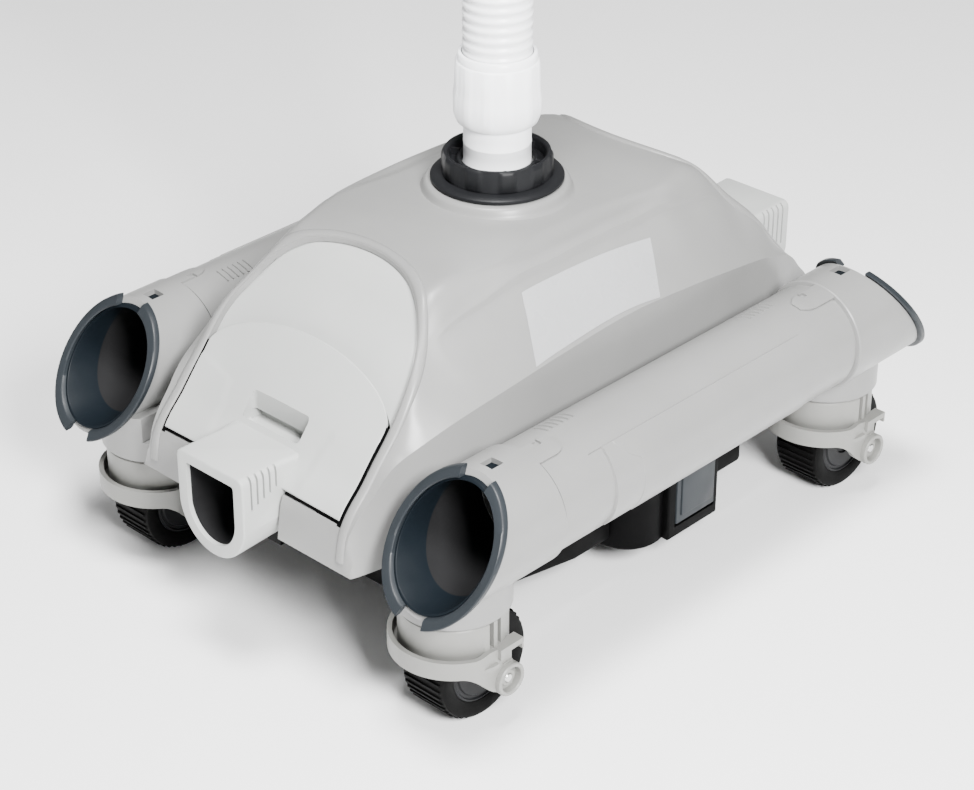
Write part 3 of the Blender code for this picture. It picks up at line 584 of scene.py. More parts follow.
def draw_hatch(bm, end):
    half = ARCH_HALF - 2.0
    widths = [-1.0, -0.995] + [0.985 * s for s in SPAN[1:-1]] + [0.995, 1.0]
    rows = [0.0, 0.008] + [0.02 + 0.96 * step / 46 for step in range(47)] + [0.992, 1.0]

    def place(u, v):
        x = half * u
        top, bottom = arch_y(x, HATCH_APEX, half) + 0.6, HATCH_FOOT - 1.2
        y = top + (bottom - top) * v
        edge = min(1 - abs(u), v, 1 - v)
        roll = -0.6 * (1 - min(1.0, edge / 0.008)) ** 2
        return skin_point(x, end * y, HATCH_LIFT + roll + facet(x, y))
    laid_grid(bm, widths, rows, place)
    thicken(bm, 3.0)


for end, place in ENDS:
    moulded(f"{place}_sunken_panel", "cover", MAIN, lambda bm: draw_panel(bm, end), smooth=50)
print("panels and hatch outlines ready")

# %% [markdown]
# The nozzle is a D-shaped snout with a thick rounded rim. Five thin slots down each side
# are the grip for pulling the hatch off, and the finger pocket above gives the thumb
# somewhere to push. A black strip in the gap round the hatch is painted shade, and a
# near-black liner paints the shade that makes the bore read as deep.


# %% Nozzles on the hatches
def d_outline(half, top, round_z, drop, corner):
    """A D as (x, z): flat on top with small corners, and a half ellipse below."""
    points = []
    for side in (1, -1):
        centre = (side * (half - corner), top - corner)
        turn = (0, 30, 60, 90) if side > 0 else (90, 120, 150, 180)
        points += [(centre[0] + corner * math.cos(math.radians(a)),
                    centre[1] + corner * math.sin(math.radians(a))) for a in turn]
    for step in range(1, 24):
        angle = math.pi + math.pi * step / 24
        points.append((half * math.cos(angle), round_z + drop * math.sin(angle)))
    return points


def d_bar(bm, y_from, y_to, near, far):
    """A D-shaped bar along y that changes from one outline to another."""
    for vert in plate(bm, near, 0.0, 1.0):
        x, share, z = vert.co.x, vert.co.z, vert.co.y
        if share > 0.5:
            x, z = far[min(range(len(near)), key=lambda i: (near[i][0] - x) ** 2 + (near[i][1] - z) ** 2)]
        vert.co = (x, y_to if share > 0.5 else y_from, z)


POCKET_HALF, POCKET_FLOOR = 24.6, 140.5
NOZZLE_REACH = {"front": abs(box_mm("front_nozzle_cover")[0].y), "rear": box_mm("rear_nozzle_cover")[1].y}


def draw_snout(bm, end, reach):
    rim = d_outline(29.0, 144.0, 112.0, 31.0, 5.0)
    back = d_outline(26.8, 143.4, 112.0, 29.0, 4.0)
    d_bar(bm, end * reach, end * 190.0, rim, back)
    round_edges(bm, 1.3, 3, 50)


def draw_fairing(bm, end):
    """The flare where the snout grows out of the hatch."""
    verts = block(bm, (-27.0, 27.0), sorted((end * 213.5, end * 190.0)), (96.0, 143.2))
    for vert in verts:
        if abs(vert.co.y) < 200:
            vert.co.x *= 1.30 if vert.co.z < 120 else 1.13
    round_edges(bm, 3.0, 4, 40)


def draw_backing(bm, end):
    """A thick patch under the hatch, so that the finger pocket has walls and a floor."""
    laid_grid(bm, [27.0 * s / 6 for s in range(-6, 7)], [178.0 + 3.0 * s for s in range(8)],
              lambda x, y: skin_point(x, end * y, -0.8))
    thicken(bm, 20.0)


def draw_shade_liner(bm, end, reach):
    """The wall inside the nozzle, near black as painted shade in the bore."""
    outer = d_outline(20.7, 136.7, 112.0, 22.9, 2.0)
    d_bar(bm, end * 150, end * (reach - 3.0), outer, outer)


def draw_gap_shade(bm, end):
    """A black strip in the gap down each side of the hatch and along its foot, as painted shade in the gap.
    """
    for side in (-1, 1):
        laid_grid(bm, [ARCH_HALF - 3.0, ARCH_HALF - 0.1], [173.0 + 4.05 * s for s in range(11)],
                  lambda x, y: skin_point(side * x, end * y, 0.15))
        laid_grid(bm, [30.5 + 4.8 * s for s in range(11)], [HATCH_FOOT - 3.0, HATCH_FOOT - 0.1],
                  lambda x, y: skin_point(side * x, end * y, -0.7))
    thicken(bm, 1.4)


def draw_slot(bm, end, side, y):
    foot_z = 121.0 + (236 - y) * 0.35
    block(bm, (side * 25.6, side * 31.0), (end * y - 0.75, end * y + 0.75), (foot_z, 150.0))


for end, place in ENDS:
    reach = NOZZLE_REACH[place]
    hatch = built(lambda bm: draw_hatch(bm, end), f"{place}_hatch")
    boolean(hatch, built(lambda bm: draw_backing(bm, end)), "UNION")
    boolean(hatch, built(lambda bm: draw_fairing(bm, end)), "UNION")
    boolean(hatch, built(lambda bm: draw_snout(bm, end, reach)), "UNION")
    bore = d_outline(20.8, 136.8, 112.0, 23.0, 2.0)
    boolean(hatch, built(lambda bm: d_bar(bm, end * 150, end * 300, bore, bore)))
    shift = reach - 243.0
    for y in (236, 231, 226, 221, 216):
        for side in (-1, 1):
            boolean(hatch, built(lambda bm: draw_slot(bm, end, side, y + shift)))
    pocket, deep = sorted((end * 195.2, end * 184.3)), sorted((end * 188.0, end * 179.5))
    boolean(hatch, built(lambda bm: block(bm, (-POCKET_HALF, POCKET_HALF), deep, (POCKET_FLOOR, 147.5))))
    boolean(hatch, built(lambda bm: (block(bm, (-POCKET_HALF, POCKET_HALF), pocket, (POCKET_FLOOR, 190)),
                                     round_edges(bm, 2.5, 3, 60))))
    piece(hatch, "cover", MAIN, f"{place}_nozzle_cover", smooth=34)
    # the black strip in the hatch gap is painted shade
    moulded(f"{place}_hatch_gap_shade", "black", MAIN, lambda bm: draw_gap_shade(bm, end))
    # the liner's near-black grey is painted shade in the bore
    shade_liner = built(lambda bm: draw_shade_liner(bm, end, reach), f"{place}_nozzle_shade_liner")
    hole = d_outline(19.9, 135.9, 112.0, 22.1, 1.6)
    boolean(shade_liner, built(lambda bm: d_bar(bm, end * 100, end * 300, hole, hole)))
    piece(shade_liner, "inner", MAIN)
print("hatch faces", len(hatch.data.polygons))

# %% [markdown]
# A plain pale film label sits on the right side wall. It is a patch of the same skin,
# lifted by the thickness of the film, so it wraps the wall as a sticker does.

# %% Blank label
CORNERS = ((82.8, -67.0), (87.3, 44.0), (109.3, 29.0), (107.1, -80.0))


def label_point(u, v):
    top = Vector(CORNERS[0]).lerp(Vector(CORNERS[1]), u)
    foot = Vector(CORNERS[3]).lerp(Vector(CORNERS[2]), u)
    spot = top.lerp(foot, v)
    return skin_point(spot.x, spot.y, 0.35)


moulded("side_label", "white", MAIN, lambda bm: (laid_grid(
    bm, [s / 40 for s in range(41)], [s / 16 for s in range(17)], label_point), thicken(bm, 0.3)),
    smooth=50, material=LABEL)
print("label in place")

# %% [markdown]
# Each side duct is a tube open at both ends. Its outer side carries a raised panel with a
# sunken band ahead of it and a kinked line across it. The tube's grid is laid by angle
# and length, and the radius changes from row to row, so the steps are real.

# %% Duct tubes
KINK = smooth_line(((0, 68.0), (22, 68.0), (34, 77.0), (52, 83.0), (360, 83.0)))
PANEL_TOP, PANEL_FOOT = 51.0, -44.0


def draw_duct(bm, side):
    steps = [PANEL_FOOT - 0.8, PANEL_FOOT]
    steps += [PANEL_FOOT + (PANEL_TOP - PANEL_FOOT) * s / 30 for s in range(1, 31)] + [PANEL_TOP + 0.8]
    steps += [PANEL_TOP + 0.8 + (360 - 0.8 * 2 - PANEL_TOP + PANEL_FOOT) * s / 54 for s in range(1, 55)]
    rows = [("y", y) for y in (0.4 - SEAM_Y, -120, -103.6, -103, -92.4, -91.8)]
    rows += [("kink", -0.5), ("kink", 0.0)]
    rows += [("y", y) for y in (-50, -20, 10, 40, 70, 91.0, 91.8, 110, SEAM_Y - 0.4)]

    def place(angle, row):
        kind, value = rows[row]
        turn = angle if angle <= 180 else angle - 360
        y = value if kind == "y" else -KINK(max(0.0, turn)) + value
        on_panel = PANEL_FOOT <= turn <= PANEL_TOP
        radius = DUCT_R
        if on_panel:
            if row in (3, 4):
                radius -= 1.0
            elif row in (5, 6):
                radius += 0.5
            elif 7 <= row <= 13:
                radius += 0.9
        rad = math.radians(angle)
        return Vector((side * (DUCT_X + radius * math.cos(rad)), y, DUCT_Z + radius * math.sin(rad)))
    laid_grid(bm, steps, list(range(len(rows))), place)
    tidy(bm)
    inward = sum((f.normal.x * (f.calc_center_median().x - side * DUCT_X)
                  + f.normal.z * (f.calc_center_median().z - DUCT_Z)) for f in bm.faces)
    if inward < 0:
        bmesh.ops.reverse_faces(bm, faces=bm.faces)
    bmesh.ops.solidify(bm, geom=bm.faces[:], thickness=3.0)


for side, hand in SIDES:
    tube = moulded(f"{hand}_duct_tube", "shell", MAIN, lambda bm: draw_duct(bm, side), f"{hand}_duct",
                   smooth=30)
print("duct faces", len(tube.data.polygons))

# %% [markdown]
# A slanted mouth is a straight turned piece that has been sheared: every point moves
# along the duct in step with its height. The stem below it carries the caster, and a
# tongue on top latches it to the tube.

# %% Duct ends
CASTER_X, CASTER_Y, TRAIL = 131.5, 176.0, 9.0
MOUTH_Y, SLANT = 201.7, math.tan(math.radians(35.0))


def slanted(verts, end, full_from, none_before):
    for vert in verts:
        share = min(1.0, max(0.0, (abs(vert.co.y) - none_before) / (full_from - none_before)))
        vert.co.y -= end * share * (vert.co.z - DUCT_Z) * SLANT


def draw_end(bm, side, end):
    seam = SEAM_Y + (1.0 if end < 0 else 2.6)
    profile = [(33.4, SEAM_Y), (33.8, SEAM_Y), (33.8, seam - 0.4), (36.2, seam + 0.1), (36.8, seam + 0.8),
               (36.8, 150), (36.8, 165), (36.8, 180), (36.8, 196.0), (33.5, 196.0), (33.5, 180), (33.5, 160)]
    verts = turned(bm, [(r, end * y) for r, y in profile], 96, "Y", (side * DUCT_X, 0, DUCT_Z))
    slanted(verts, end, 178.0, 141.0)


def draw_stem(bm, side, end):
    turned(bm, [(0, 80.3), (34.2, 80.3), (35.0, 81.1), (35.0, 112), (0, 112)], 80, "Z",
           (side * CASTER_X, end * CASTER_Y, 0))


def draw_tongue(bm, side, end):
    """The latch tongue, a patch lying on top of the tube with a rounded nose."""
    nose = 113.0 if end < 0 else 108.0
    rows = [0.0, 0.25, 0.5, 0.7, 0.84, 0.93, 0.98, 1.0]

    def place(u, v):
        half = 12.8 * (1 - 0.55 * max(0.0, (v - 0.7) / 0.3) ** 2)
        angle = math.radians(79.0 + half * u)
        y = end * (142.0 - (142.0 - nose) * v)
        radius = DUCT_R + 1.5 - 0.5 * ease((v - 0.9) / 0.1)
        return Vector((side * (DUCT_X + radius * math.cos(angle)), y, DUCT_Z + radius * math.sin(angle)))
    laid_grid(bm, [s / 6 for s in range(-6, 7)], rows, place)
    thicken(bm, 2.2)


for side, hand in SIDES:
    for end, place in ENDS:
        corner = f"{place}_{hand}"
        body_end = built(lambda bm: draw_end(bm, side, end), f"duct_mouth_{corner}")
        stem = built(lambda bm: draw_stem(bm, side, end))
        bore = rod(34.8, -300, 300)
        boolean(stem, built(lambda bm: turned(bm, bore, 96, "Y", (side * DUCT_X, 0, DUCT_Z))))
        beside_housing = sorted((side * 60, side * 110.6))
        boolean(stem, built(lambda bm: block(bm, beside_housing, (-300, 300), (94.7, 200))))
        boolean(body_end, stem, "UNION")
        boolean(body_end, built(lambda bm: turned(bm, rod(10.4, 60, 96.6), 32, "Z",
                                                  (side * CASTER_X, end * CASTER_Y, 0))))
        square = sorted((end * (164.0 if end < 0 else 169.0), end * (154.5 if end < 0 else 158.5)))
        window = sorted((side * 141.5, side * 151.0))
        boolean(body_end, built(lambda bm: block(bm, window, square, (150, 190))))
        piece(body_end, "shell", MAIN, f"duct_end_{corner}", smooth=34)
        tongue = built(lambda bm: draw_tongue(bm, side, end), f"latch_tongue_{corner}")
        slot_y = end * (124.0 if end < 0 else 119.0)
        for wide, long in (((141, 151), (slot_y - 1.0, slot_y + 1.0)),
                           ((147.5, 151.5), sorted((slot_y, slot_y + end * 4.0)))):
            across_tube = sorted((side * wide[0], side * wide[1]))
            boolean(tongue, built(lambda bm: block(bm, across_tube, long, (150, 190))))
        piece(tongue, "shell", MAIN, smooth=30)
print("mouth slant", round(math.degrees(math.atan(SLANT))), "degrees")

# %% [markdown]
# A few thin ribs on the tube's shoulder give wet fingers a grip. Each one is a small
# rectangle spun through a few degrees about the duct's axis.


# %% Grip ribs
GRIP_RIBS, RIB_STEP = 6, 4.4


def draw_ribs(bm, side, end):
    low_r, high_r = DUCT_R - 0.4, DUCT_R + 1.0
    for step in range(GRIP_RIBS):
        y = end * ((87.0 if end < 0 else 77.0) + RIB_STEP * step)
        profile = [(low_r, y - 0.7), (high_r, y - 0.45), (high_r, y + 0.45), (low_r, y + 0.7)]
        # a spin about y starts at +x and turns towards -z, so the ribs over the top start below zero
        start = -115.0 if side > 0 else -83.0
        turned(bm, profile, 8, "Y", (side * DUCT_X, 0, DUCT_Z), start=start, sweep=18.0)


for side, hand in SIDES:
    for end, place in ENDS:
        moulded(f"grip_ribs_{place}_{hand}", "shell", MAIN, lambda bm: draw_ribs(bm, side, end))
print("ribs per duct end", GRIP_RIBS)

# %% [markdown]
# The blue-grey lip is a flange that is broken at the top and at the bottom, where it clips
# on, with a sleeve inside it painted darker as shade. The sleeve is one full spin, the
# flange two partial spins, and both are sheared to the slant of the mouth. A thin lining
# painted near black as shade runs through each duct behind them.


# %% Mouth lips
LIP_R = 39.4


def draw_sleeve(bm, side, end):
    collar = [(31.6, MOUTH_Y - 27), (33.2, MOUTH_Y - 27), (33.3, MOUTH_Y - 3.4), (32.9, MOUTH_Y - 3.0),
              (31.9, MOUTH_Y - 3.0), (31.6, MOUTH_Y - 3.6)]
    verts = turned(bm, [(r, end * y) for r, y in collar], 96, "Y", (side * DUCT_X, 0, DUCT_Z))
    slanted(verts, end, 0.1, 0.0)


def draw_lip(bm, side, end):
    flange = [(33.4, MOUTH_Y - 5.4), (38.7, MOUTH_Y - 5.2), (LIP_R, MOUTH_Y - 4.4), (LIP_R, MOUTH_Y - 1.0),
              (38.7, MOUTH_Y), (34.2, MOUTH_Y), (33.4, MOUTH_Y - 0.9)]
    verts = []
    for start, sweep in ((-76.0, 146.0), (104.0, 150.0)):
        first = -start - sweep if side > 0 else start - 180
        verts += turned(bm, [(r, end * y) for r, y in flange], 60, "Y", (side * DUCT_X, 0, DUCT_Z),
                        start=first, sweep=sweep)
    slanted(verts, end, 0.1, 0.0)


def draw_shade_lining(bm, side):
    """A wall inside a duct, from mouth to mouth, near black as painted shade."""
    profile = [(32.5, -176.0), (33.3, -176.0), (33.3, -141.0), (33.3, 141.0), (33.3, 176.0), (32.5, 176.0),
               (32.5, 141.0), (32.5, -141.0)]
    verts = turned(bm, profile, 96, "Y", (side * DUCT_X, 0, DUCT_Z))
    for end, place in ENDS:
        slanted([v for v in verts if v.co.y * end > 0], end, 178.0, 141.0)


# the duct linings' near-black grey is painted shade inside the ducts
for side, hand in SIDES:
    moulded(f"{hand}_duct_shade_lining", "inner", MAIN, lambda bm: draw_shade_lining(bm, side))
for side, hand in SIDES:
    for end, place in ENDS:
        corner = f"{place}_{hand}"
        moulded(f"mouth_lip_{corner}", "blue_grey", MAIN, lambda bm: draw_lip(bm, side, end),
                f"mouth_ring_{corner}", smooth=40)
        # the sleeve's darker colour is painted shade inside the collar
        moulded(f"mouth_sleeve_{corner}", "blue_grey", MAIN, lambda bm: draw_sleeve(bm, side, end),
                material=SLEEVE_SHADE)
print("lip radius", LIP_R, "mm")

# %% [markdown]
# A caster is a cup that swivels under the duct's stem, with a band round its front that
# dips on each side. Each dip ends in a round boss with the axle's end sunk in it. Pieces
# are joined and cut with Booleans, since one moulding has to carry them all.

# %% Casters
WHEEL_R, AXLE_Z, CUP_R, APRON_R = 36.0, 36.0, 32.5, 38.5


def draw_cup(bm, x, y):
    profile = [(0, 52), (CUP_R - 0.6, 52), (CUP_R, 52.8), (CUP_R, 77.6), (CUP_R - 1.2, 79.0), (10, 79.0),
               (10, 96), (0, 96)]
    turned(bm, profile, 72, "Z", (x, y, 0))


def apron_path(steps=42):
    """Plan points round the front of the cup, with a straight run back on each side."""
    run = [(APRON_R, 13.0), (APRON_R, 9.0), (APRON_R, 6.0), (APRON_R, 3.0)]
    bow = [(APRON_R * math.cos(math.pi * s / steps), -APRON_R * math.sin(math.pi * s / steps))
           for s in range(steps + 1)]
    return run + bow + [(-x, y) for x, y in reversed(run)]


def draw_apron(bm, x, y):
    """A band that stands off the cup and dips on each side to carry the axle's end."""
    path = apron_path()

    def place(share, index):
        across, along = path[index]
        across -= math.copysign(3.4 * ease((along + 17.0) / 13.0), across)
        low = 29.5 + 19.1 * ease((3.0 - along) / 27.0)
        high = 60.4 - 1.2 * ease((along + 4.0) / 10.0)
        return Vector((x + across, y + along, low + (high - low) * share))
    laid_grid(bm, [s / 8 for s in range(9)], list(range(len(path))), place)
    tidy(bm)
    if sum(f.normal.y * (f.calc_center_median().y - y) for f in bm.faces) < 0:
        bmesh.ops.reverse_faces(bm, faces=bm.faces)
    bmesh.ops.solidify(bm, geom=bm.faces[:], thickness=3.0)


def draw_shelf_ring(bm, x, y):
    """The floor that joins the apron to the cup."""
    profile = [(30.0, 48.8), (37.0, 48.8), (37.0, 51.4), (30.0, 52.4)]
    turned(bm, profile, 48, "Z", (x, y, 0), start=180.0, sweep=180.0)


def draw_boss(bm, x, axle_y, hand):
    profile = [(0, 31.2), (10.6, 31.2), (10.6, 38.2), (10.0, 38.9), (8.6, 38.9), (8.0, 38.3), (8.0, 33.8),
               (0, 33.8)]
    turned(bm, [(r, hand * h) for r, h in profile], 40, "X", (x, axle_y, AXLE_Z))


for side, hand in SIDES:
    for end, place in ENDS:
        corner, body = f"{place}_{hand}", f"caster_{place}_{hand}"
        x, y = side * CASTER_X, end * CASTER_Y
        axle_y = y + TRAIL
        fork = built(lambda bm: draw_cup(bm, x, y), f"caster_fork_{corner}_shape")
        boolean(fork, built(lambda bm: draw_shelf_ring(bm, x, y)), "UNION")
        boolean(fork, built(lambda bm: draw_apron(bm, x, y)), "UNION")
        for out in (-1, 1):
            boolean(fork, built(lambda bm: draw_boss(bm, x, axle_y, out)), "UNION")
            shelf = sorted((x + out * 29.5, x + out * 37.4))
            boolean(fork, built(lambda bm: block(bm, shelf, (y + 1.0, y + 20.0), (53.0, 60.0))), "UNION")
            recess = sorted((x + out * 34.4, x + out * 45.0))
            boolean(fork, built(lambda bm: block(bm, recess, (y + 4.5, y + 18.6), (47.6, 56.4))))
            boolean(fork, built(lambda bm: draw_boss(bm, x, axle_y, out)), "UNION")
        boolean(fork, built(lambda bm: turned(bm, rod(38.2, -19.0, 19.0), 72, "X", (x, axle_y, AXLE_Z))))
        room = (x - 30.9, x + 30.9)
        boolean(fork, built(lambda bm: block(bm, room, (axle_y - 70, axle_y + 60), (0, 48.5))))
        for out in (-1, 1):
            for slot_y in (y - 1.5, y + 5.0):
                slot = sorted((x + out * 27.0, x + out * 36.0))
                boolean(fork, built(lambda bm: block(bm, slot, (slot_y - 1.7, slot_y + 1.7), (60.5, 81))))
        boolean(fork, built(lambda bm: turned(bm, rod(3.2, -60, 60), 24, "X", (x, axle_y, AXLE_Z))))
        soften(fork, 0.35, 2, 40)
        piece(fork, "caster", body, f"caster_fork_{corner}", smooth=40)
print("fork faces", len(fork.data.polygons))

# %% [markdown]
# The axle pin shows only at its ends, where it has a small slotted head. The wheel is a
# charcoal hub under a black tread, and the tread's ribs run across it so that it grips
# a wet pool floor.


# %% Axles and wheels
TREAD_RIBS = 45


def draw_axle(bm, x, axle_y):
    profile = [(0, -36.2), (2.4, -36.2), (3.0, -35.6), (3.0, 35.6), (2.4, 36.2), (0, 36.2)]
    turned(bm, profile, 32, "X", (x, axle_y, AXLE_Z))


def draw_axle_caps(bm, x, axle_y):
    for out in (-1, 1):
        profile = [(3.1, 33.9), (5.4, 33.9), (5.4, 35.2), (4.9, 35.7), (3.1, 35.7)]
        turned(bm, [(r, out * h) for r, h in profile], 32, "X", (x, axle_y, AXLE_Z))


def draw_tread(bm, x, axle_y):
    profile = [(24.8, -15.4), (27, -16.6), (32.4, -17.0), (34.4, -16.0), (34.9, -14.4), (34.9, 14.4),
               (34.4, 16.0), (32.4, 17.0), (27, 16.6), (24.8, 15.4)]
    turned(bm, profile, 90, "X", (x, axle_y, AXLE_Z))
    for step in range(TREAD_RIBS):
        verts = block(bm, (-15.0, 15.0), (-0.9, 0.9), (34.2, WHEEL_R))
        for vert in verts:
            if vert.co.z > 35:
                vert.co.x *= 0.93
                vert.co.y *= 0.7
        turn = Matrix.Rotation(FULL_TURN * step / TREAD_RIBS, 3, "X")
        bmesh.ops.rotate(bm, verts=verts, cent=(0, 0, 0), matrix=turn)
        bmesh.ops.translate(bm, verts=verts, vec=(x, axle_y, AXLE_Z))


def draw_hub(bm, x, axle_y):
    half = [(3.3, -29), (7.0, -29), (7.5, -28.5), (7.5, -15.0), (10.5, -14.4), (11.2, -15.6), (20.0, -15.6),
            (20.8, -14.6), (22.6, -14.6), (23.2, -15.6), (24.5, -15.2)]
    turned(bm, half + [(r, -h) for r, h in reversed(half)], 72, "X", (x, axle_y, AXLE_Z))


for side, hand in SIDES:
    for end, place in ENDS:
        corner = f"{place}_{hand}"
        x, axle_y = side * CASTER_X, end * CASTER_Y + TRAIL
        moulded(f"axle_pin_{corner}", "steel", f"caster_{corner}", lambda bm: draw_axle(bm, x, axle_y),
                f"caster_axle_{corner}")
        moulded(f"axle_caps_{corner}", "caster", f"caster_{corner}", lambda bm: draw_axle_caps(bm, x, axle_y))
        moulded(f"tread_{corner}", "tyre", f"wheel_{corner}", lambda bm: draw_tread(bm, x, axle_y),
                f"tyre_{corner}")
        moulded(f"hub_{corner}", "charcoal", f"wheel_{corner}", lambda bm: draw_hub(bm, x, axle_y),
                f"wheel_hub_{corner}")
print("tread ribs per wheel", TREAD_RIBS)

# %% [markdown]
# The swivel stack is all turned work: a pedestal moulded on the crown, a flat charcoal
# flange, a lobed locking ring with a hollow top, and the white stub that the hose nut
# clamps.

# %% Swivel, locking ring and nut
FLANGE = box_mm("swivel_flange")
LOCK = box_mm("locking_ring")
NUT = box_mm("hose_nut")
STUB = box_mm("hose_stub")


def lobed(verts, lobes, depth, low_r):
    """Press flats into a turned piece by pulling in the points beyond a radius."""
    for vert in verts:
        radius = math.hypot(vert.co.x, vert.co.y)
        if radius > low_r:
            wave = math.cos(lobes * math.atan2(vert.co.y, vert.co.x))
            pull = depth * ease((0.35 - wave) / 0.5)
            vert.co.x *= 1 - pull / radius
            vert.co.y *= 1 - pull / radius


pedestal_profile = [(21.0, 238.0), (21.0, 243.7), (43.6, 243.7), (44.8, 243.2), (45.8, 241.8),
                    (46.6, 239.6), (47.6, 237.6), (50.0, 236.2), (54.0, 234.0), (30, 234.0)]
moulded("crown_pedestal", "shell", MAIN, lambda bm: turned(bm, pedestal_profile, 128), smooth=50)

flange_z = FLANGE[0].z
flange_profile = [(16.5, flange_z), (40.9, flange_z), (41.7, flange_z + 0.8), (41.7, flange_z + 2.4),
                  (41.0, flange_z + 3.2), (37.0, flange_z + 4.0), (16.5, flange_z + 4.0)]
moulded("flange_disc", "charcoal", MAIN, lambda bm: turned(bm, flange_profile, 128), "swivel_flange")

lock_low, lock_high = LOCK[0].z, LOCK[1].z
lock_profile = [(29.0, lock_low), (34.0, lock_low), (34.7, lock_low + 1.0), (34.7, lock_high - 3.0),
                (34.2, lock_high - 1.2), (33.2, lock_high - 0.2), (31.8, lock_high), (30.8, lock_high - 0.6),
                (30.2, lock_high - 2.0), (29.4, 255.0), (25.6, 255.0), (25.3, 257.2), (24.6, 257.8),
                (22.8, 257.8), (22.2, 257.0), (22.2, 254.0), (29.0, 254.0)]


def draw_lock(bm):
    verts = turned(bm, lock_profile, 160)
    lobed(verts, 10, 0.9, 34.0)
    for step in range(6):
        verts = block(bm, (24.8, 30.6), (-0.9, 0.9), (254.5, 259.4))
        round_the_hose(bm, verts, (step + 0.4) / 6)


moulded("lobed_lock_ring", "charcoal", "locking_ring", draw_lock, "locking_ring")

stub_low, stub_high = STUB[0].z, STUB[1].z
stub_profile = [(18.0, stub_low), (26.5, stub_low), (26.5, 253.2), (21.6, 253.4), (21.0, 254.4),
                (21.0, 268.6), (21.15, 268.8), (21.15, 269.4), (21.0, 269.6), (21.0, stub_high),
                (18.0, stub_high)]
moulded("swivel_stub", "white", "swivel_pipe", lambda bm: turned(bm, stub_profile, 96), "hose_stub")

nut_low, nut_high = NUT[0].z, NUT[1].z
nut_profile = [(21.3, nut_low), (24.0, nut_low), (25.3, nut_low + 0.9), (26.5, nut_low + 4.0),
               (27.5, nut_low + 7.6), (27.5, nut_low + 17.0), (27.0, nut_low + 19.5), (26.6, nut_low + 24),
               (26.0, nut_high - 6.2), (25.2, nut_high - 5.4), (24.6, nut_high - 5.0), (24.3, nut_high - 0.5),
               (23.7, nut_high), (22.1, nut_high), (22.1, 303.0), (21.3, 300.0)]


def draw_nut(bm):
    lobed(turned(bm, nut_profile, 144), 12, 0.45, 25.4)


moulded("hose_clamp_nut", "white", "hose_nut", draw_nut, "hose_nut", smooth=50)
print("swivel stack from", round(flange_z, 1), "to", round(nut_high, 1), "mm")

# %% [markdown]
# Under the housing is a black tray with the works in it. From outside it shows as a boat
# with sloping ends, a round drum on each side and a framed door in front of the drum.


# %% Underbody
def tray_outline(inset, reach):
    half, waist = 110.0 - inset, 80.0 - inset
    right = [(waist - 4, -reach), (waist, -130 + inset), (half - 9, -88), (half, -45), (half, 118 - inset),
             (waist, 140 - inset), (waist - 4, reach)]
    return right + [(-x, y) for x, y in reversed(right)]


def draw_tray(bm, inset, low, high):
    for vert in plate(bm, tray_outline(inset, 148 - inset), low, high):
        if vert.co.z > (low + high) / 2 and abs(vert.co.y) > 142:
            vert.co.y = math.copysign(187 - inset, vert.co.y)


tray_low, tray_high = box_mm("lower_chassis")[0].z, 94.7
tray = built(lambda bm: draw_tray(bm, 0.0, tray_low, tray_high), "underbody_tray")
soften(tray, 2.5, 3)
boolean(tray, built(lambda bm: draw_tray(bm, 3.0, tray_low + 3, tray_high + 20)))
for side, hand in SIDES:
    boolean(tray, built(lambda bm: block(bm, sorted((side * 76.6, side * 120)), (-13.4, 69.4), (20, 84.2))))
SCREW_X, SCREW_Y, SCREW_HOLE_R = 60, 120, 2.9
for x in (-SCREW_X, SCREW_X):
    for y in (-SCREW_Y, SCREW_Y):
        boolean(tray, built(lambda bm: turned(bm, rod(SCREW_HOLE_R, 20, 50), 24, "Z", (x, y, 0))))
for rib in range(-3, 4):
    boolean(tray, built(lambda bm: block(bm, (-50, 50), (rib * 14 - 1.2, rib * 14 + 1.2), (30, 33.2))))
boolean(tray, built(lambda bm: block(bm, (-14, 6), (-196, -166), (68, 79.5))), "UNION")
piece(tray, "black", MAIN, "lower_chassis")


POD_LOW, POD_HIGH = 24, 83.8


def draw_drum(bm, side):
    profile = [(0, POD_LOW), (23.4, POD_LOW), (25, POD_LOW + 1.6), (25, POD_HIGH), (0, POD_HIGH)]
    turned(bm, profile, 64, "Z", (side * 102, 12, 0))


def draw_pod_frame(bm, side):
    block(bm, sorted((side * 88, side * 130.5)), (20, 69), (POD_LOW, POD_HIGH))
    round_edges(bm, 1.4, 3, 60)


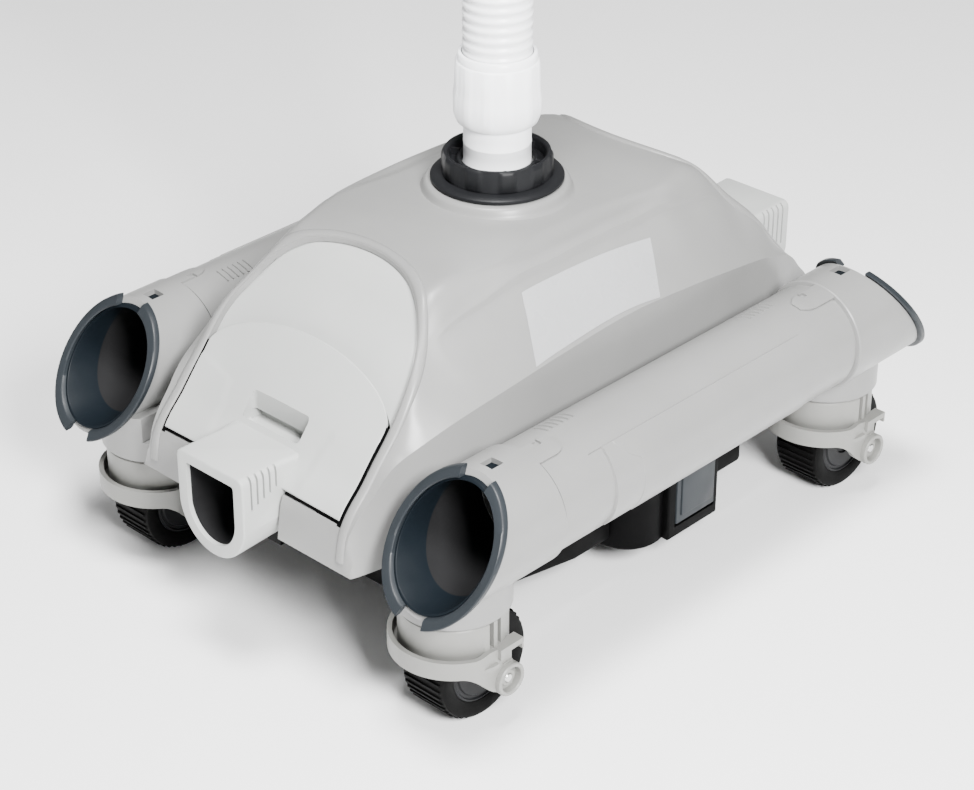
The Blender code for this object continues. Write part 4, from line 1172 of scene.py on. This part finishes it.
for side, hand in SIDES:
    pod = built(lambda bm: draw_drum(bm, side), f"{hand}_drum_and_frame")
    boolean(pod, built(lambda bm: draw_pod_frame(bm, side)), "UNION")
    boolean(pod, built(lambda bm: block(bm, sorted((side * 126.2, side * 140)), (26.5, 65.5), (31.5, 90))))
    boolean(pod, built(lambda bm: block(bm, sorted((side * 95, side * 124)), (60, 80), (36, 60))))
    piece(pod, "black", MAIN, f"{hand}_pod")
    moulded(f"{hand}_door_leaf", "blue_grey", f"{hand}_door", lambda bm: (
        block(bm, sorted((side * 126.8, side * 131.2)), (27.2, 64.8), (33.7, 82.8)),
        block(bm, sorted((side * 130.6, side * 132.5)), (31, 61), (39, 77))), f"{hand}_door", bevel=0.8)
print("tray floor at", round(tray_low, 1), "mm")

# %% [markdown]
# The works inside, such as the inlet pipe, the turbine and its gears, show only through
# the openings. Their frame shapes are right, so they only get their finishes.

# %% Finishes for the works inside
# the inlet pipe takes the near-black inner grey, painted shade where it shows through the openings
WORKS = {"inlet_manifold": "inner", "turbine_wheel": "charcoal", "timer_gear": "blue_grey",
         "gear_post": "steel", "diverter_flap": "blue_grey"}
WORKS.update({f"screw_{place}_{hand}": "steel" for side, hand in SIDES for end, place in ENDS})
for node, slot in WORKS.items():
    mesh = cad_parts[node].data
    mesh.materials.clear()
    mesh.materials.append(FINISHES[slot])
print("works kept from the frame", len(WORKS))

# %% [markdown]
# A pale floor without an edge in sight, a key light to the right and a little to the
# front, a second one overhead, a weak fill from the left and a dim even sky give the
# clear but soft shadows of a quiet studio.

# %% Floor and lights
bm = bmesh.new()
bmesh.ops.create_grid(bm, x_segments=1, y_segments=1, size=30.0)
floor = raw(bm, "floor")
floor.data.materials.append(finish("pale_floor", (0.90, 0.90, 0.90), 0.7, drift=0.004, grain=0.0))

world = bpy.data.worlds.new("studio")
bpy.context.scene.world = world
world.use_nodes = True
world.node_tree.nodes["Background"].inputs["Color"].default_value = (1.0, 1.0, 1.0, 1.0)
world.node_tree.nodes["Background"].inputs["Strength"].default_value = 0.30


def soft_light(name, place, size, power):
    light = bpy.data.lights.new(name, "AREA")
    light.shape, light.size, light.energy = "SQUARE", size, power
    lamp = bpy.data.objects.new(name, light)
    bpy.context.scene.collection.objects.link(lamp)
    lamp.location = place
    lamp.rotation_euler = (Vector((0, 0, 0.12)) - lamp.location).to_track_quat("-Z", "Y").to_euler()


soft_light("key", (1.45, -0.75, 1.25), 0.5, 120.0)
soft_light("top", (0.35, -0.5, 2.3), 0.7, 115.0)
soft_light("fill", (-1.5, -1.5, 1.1), 1.2, 3.0)
print("lights", 3)
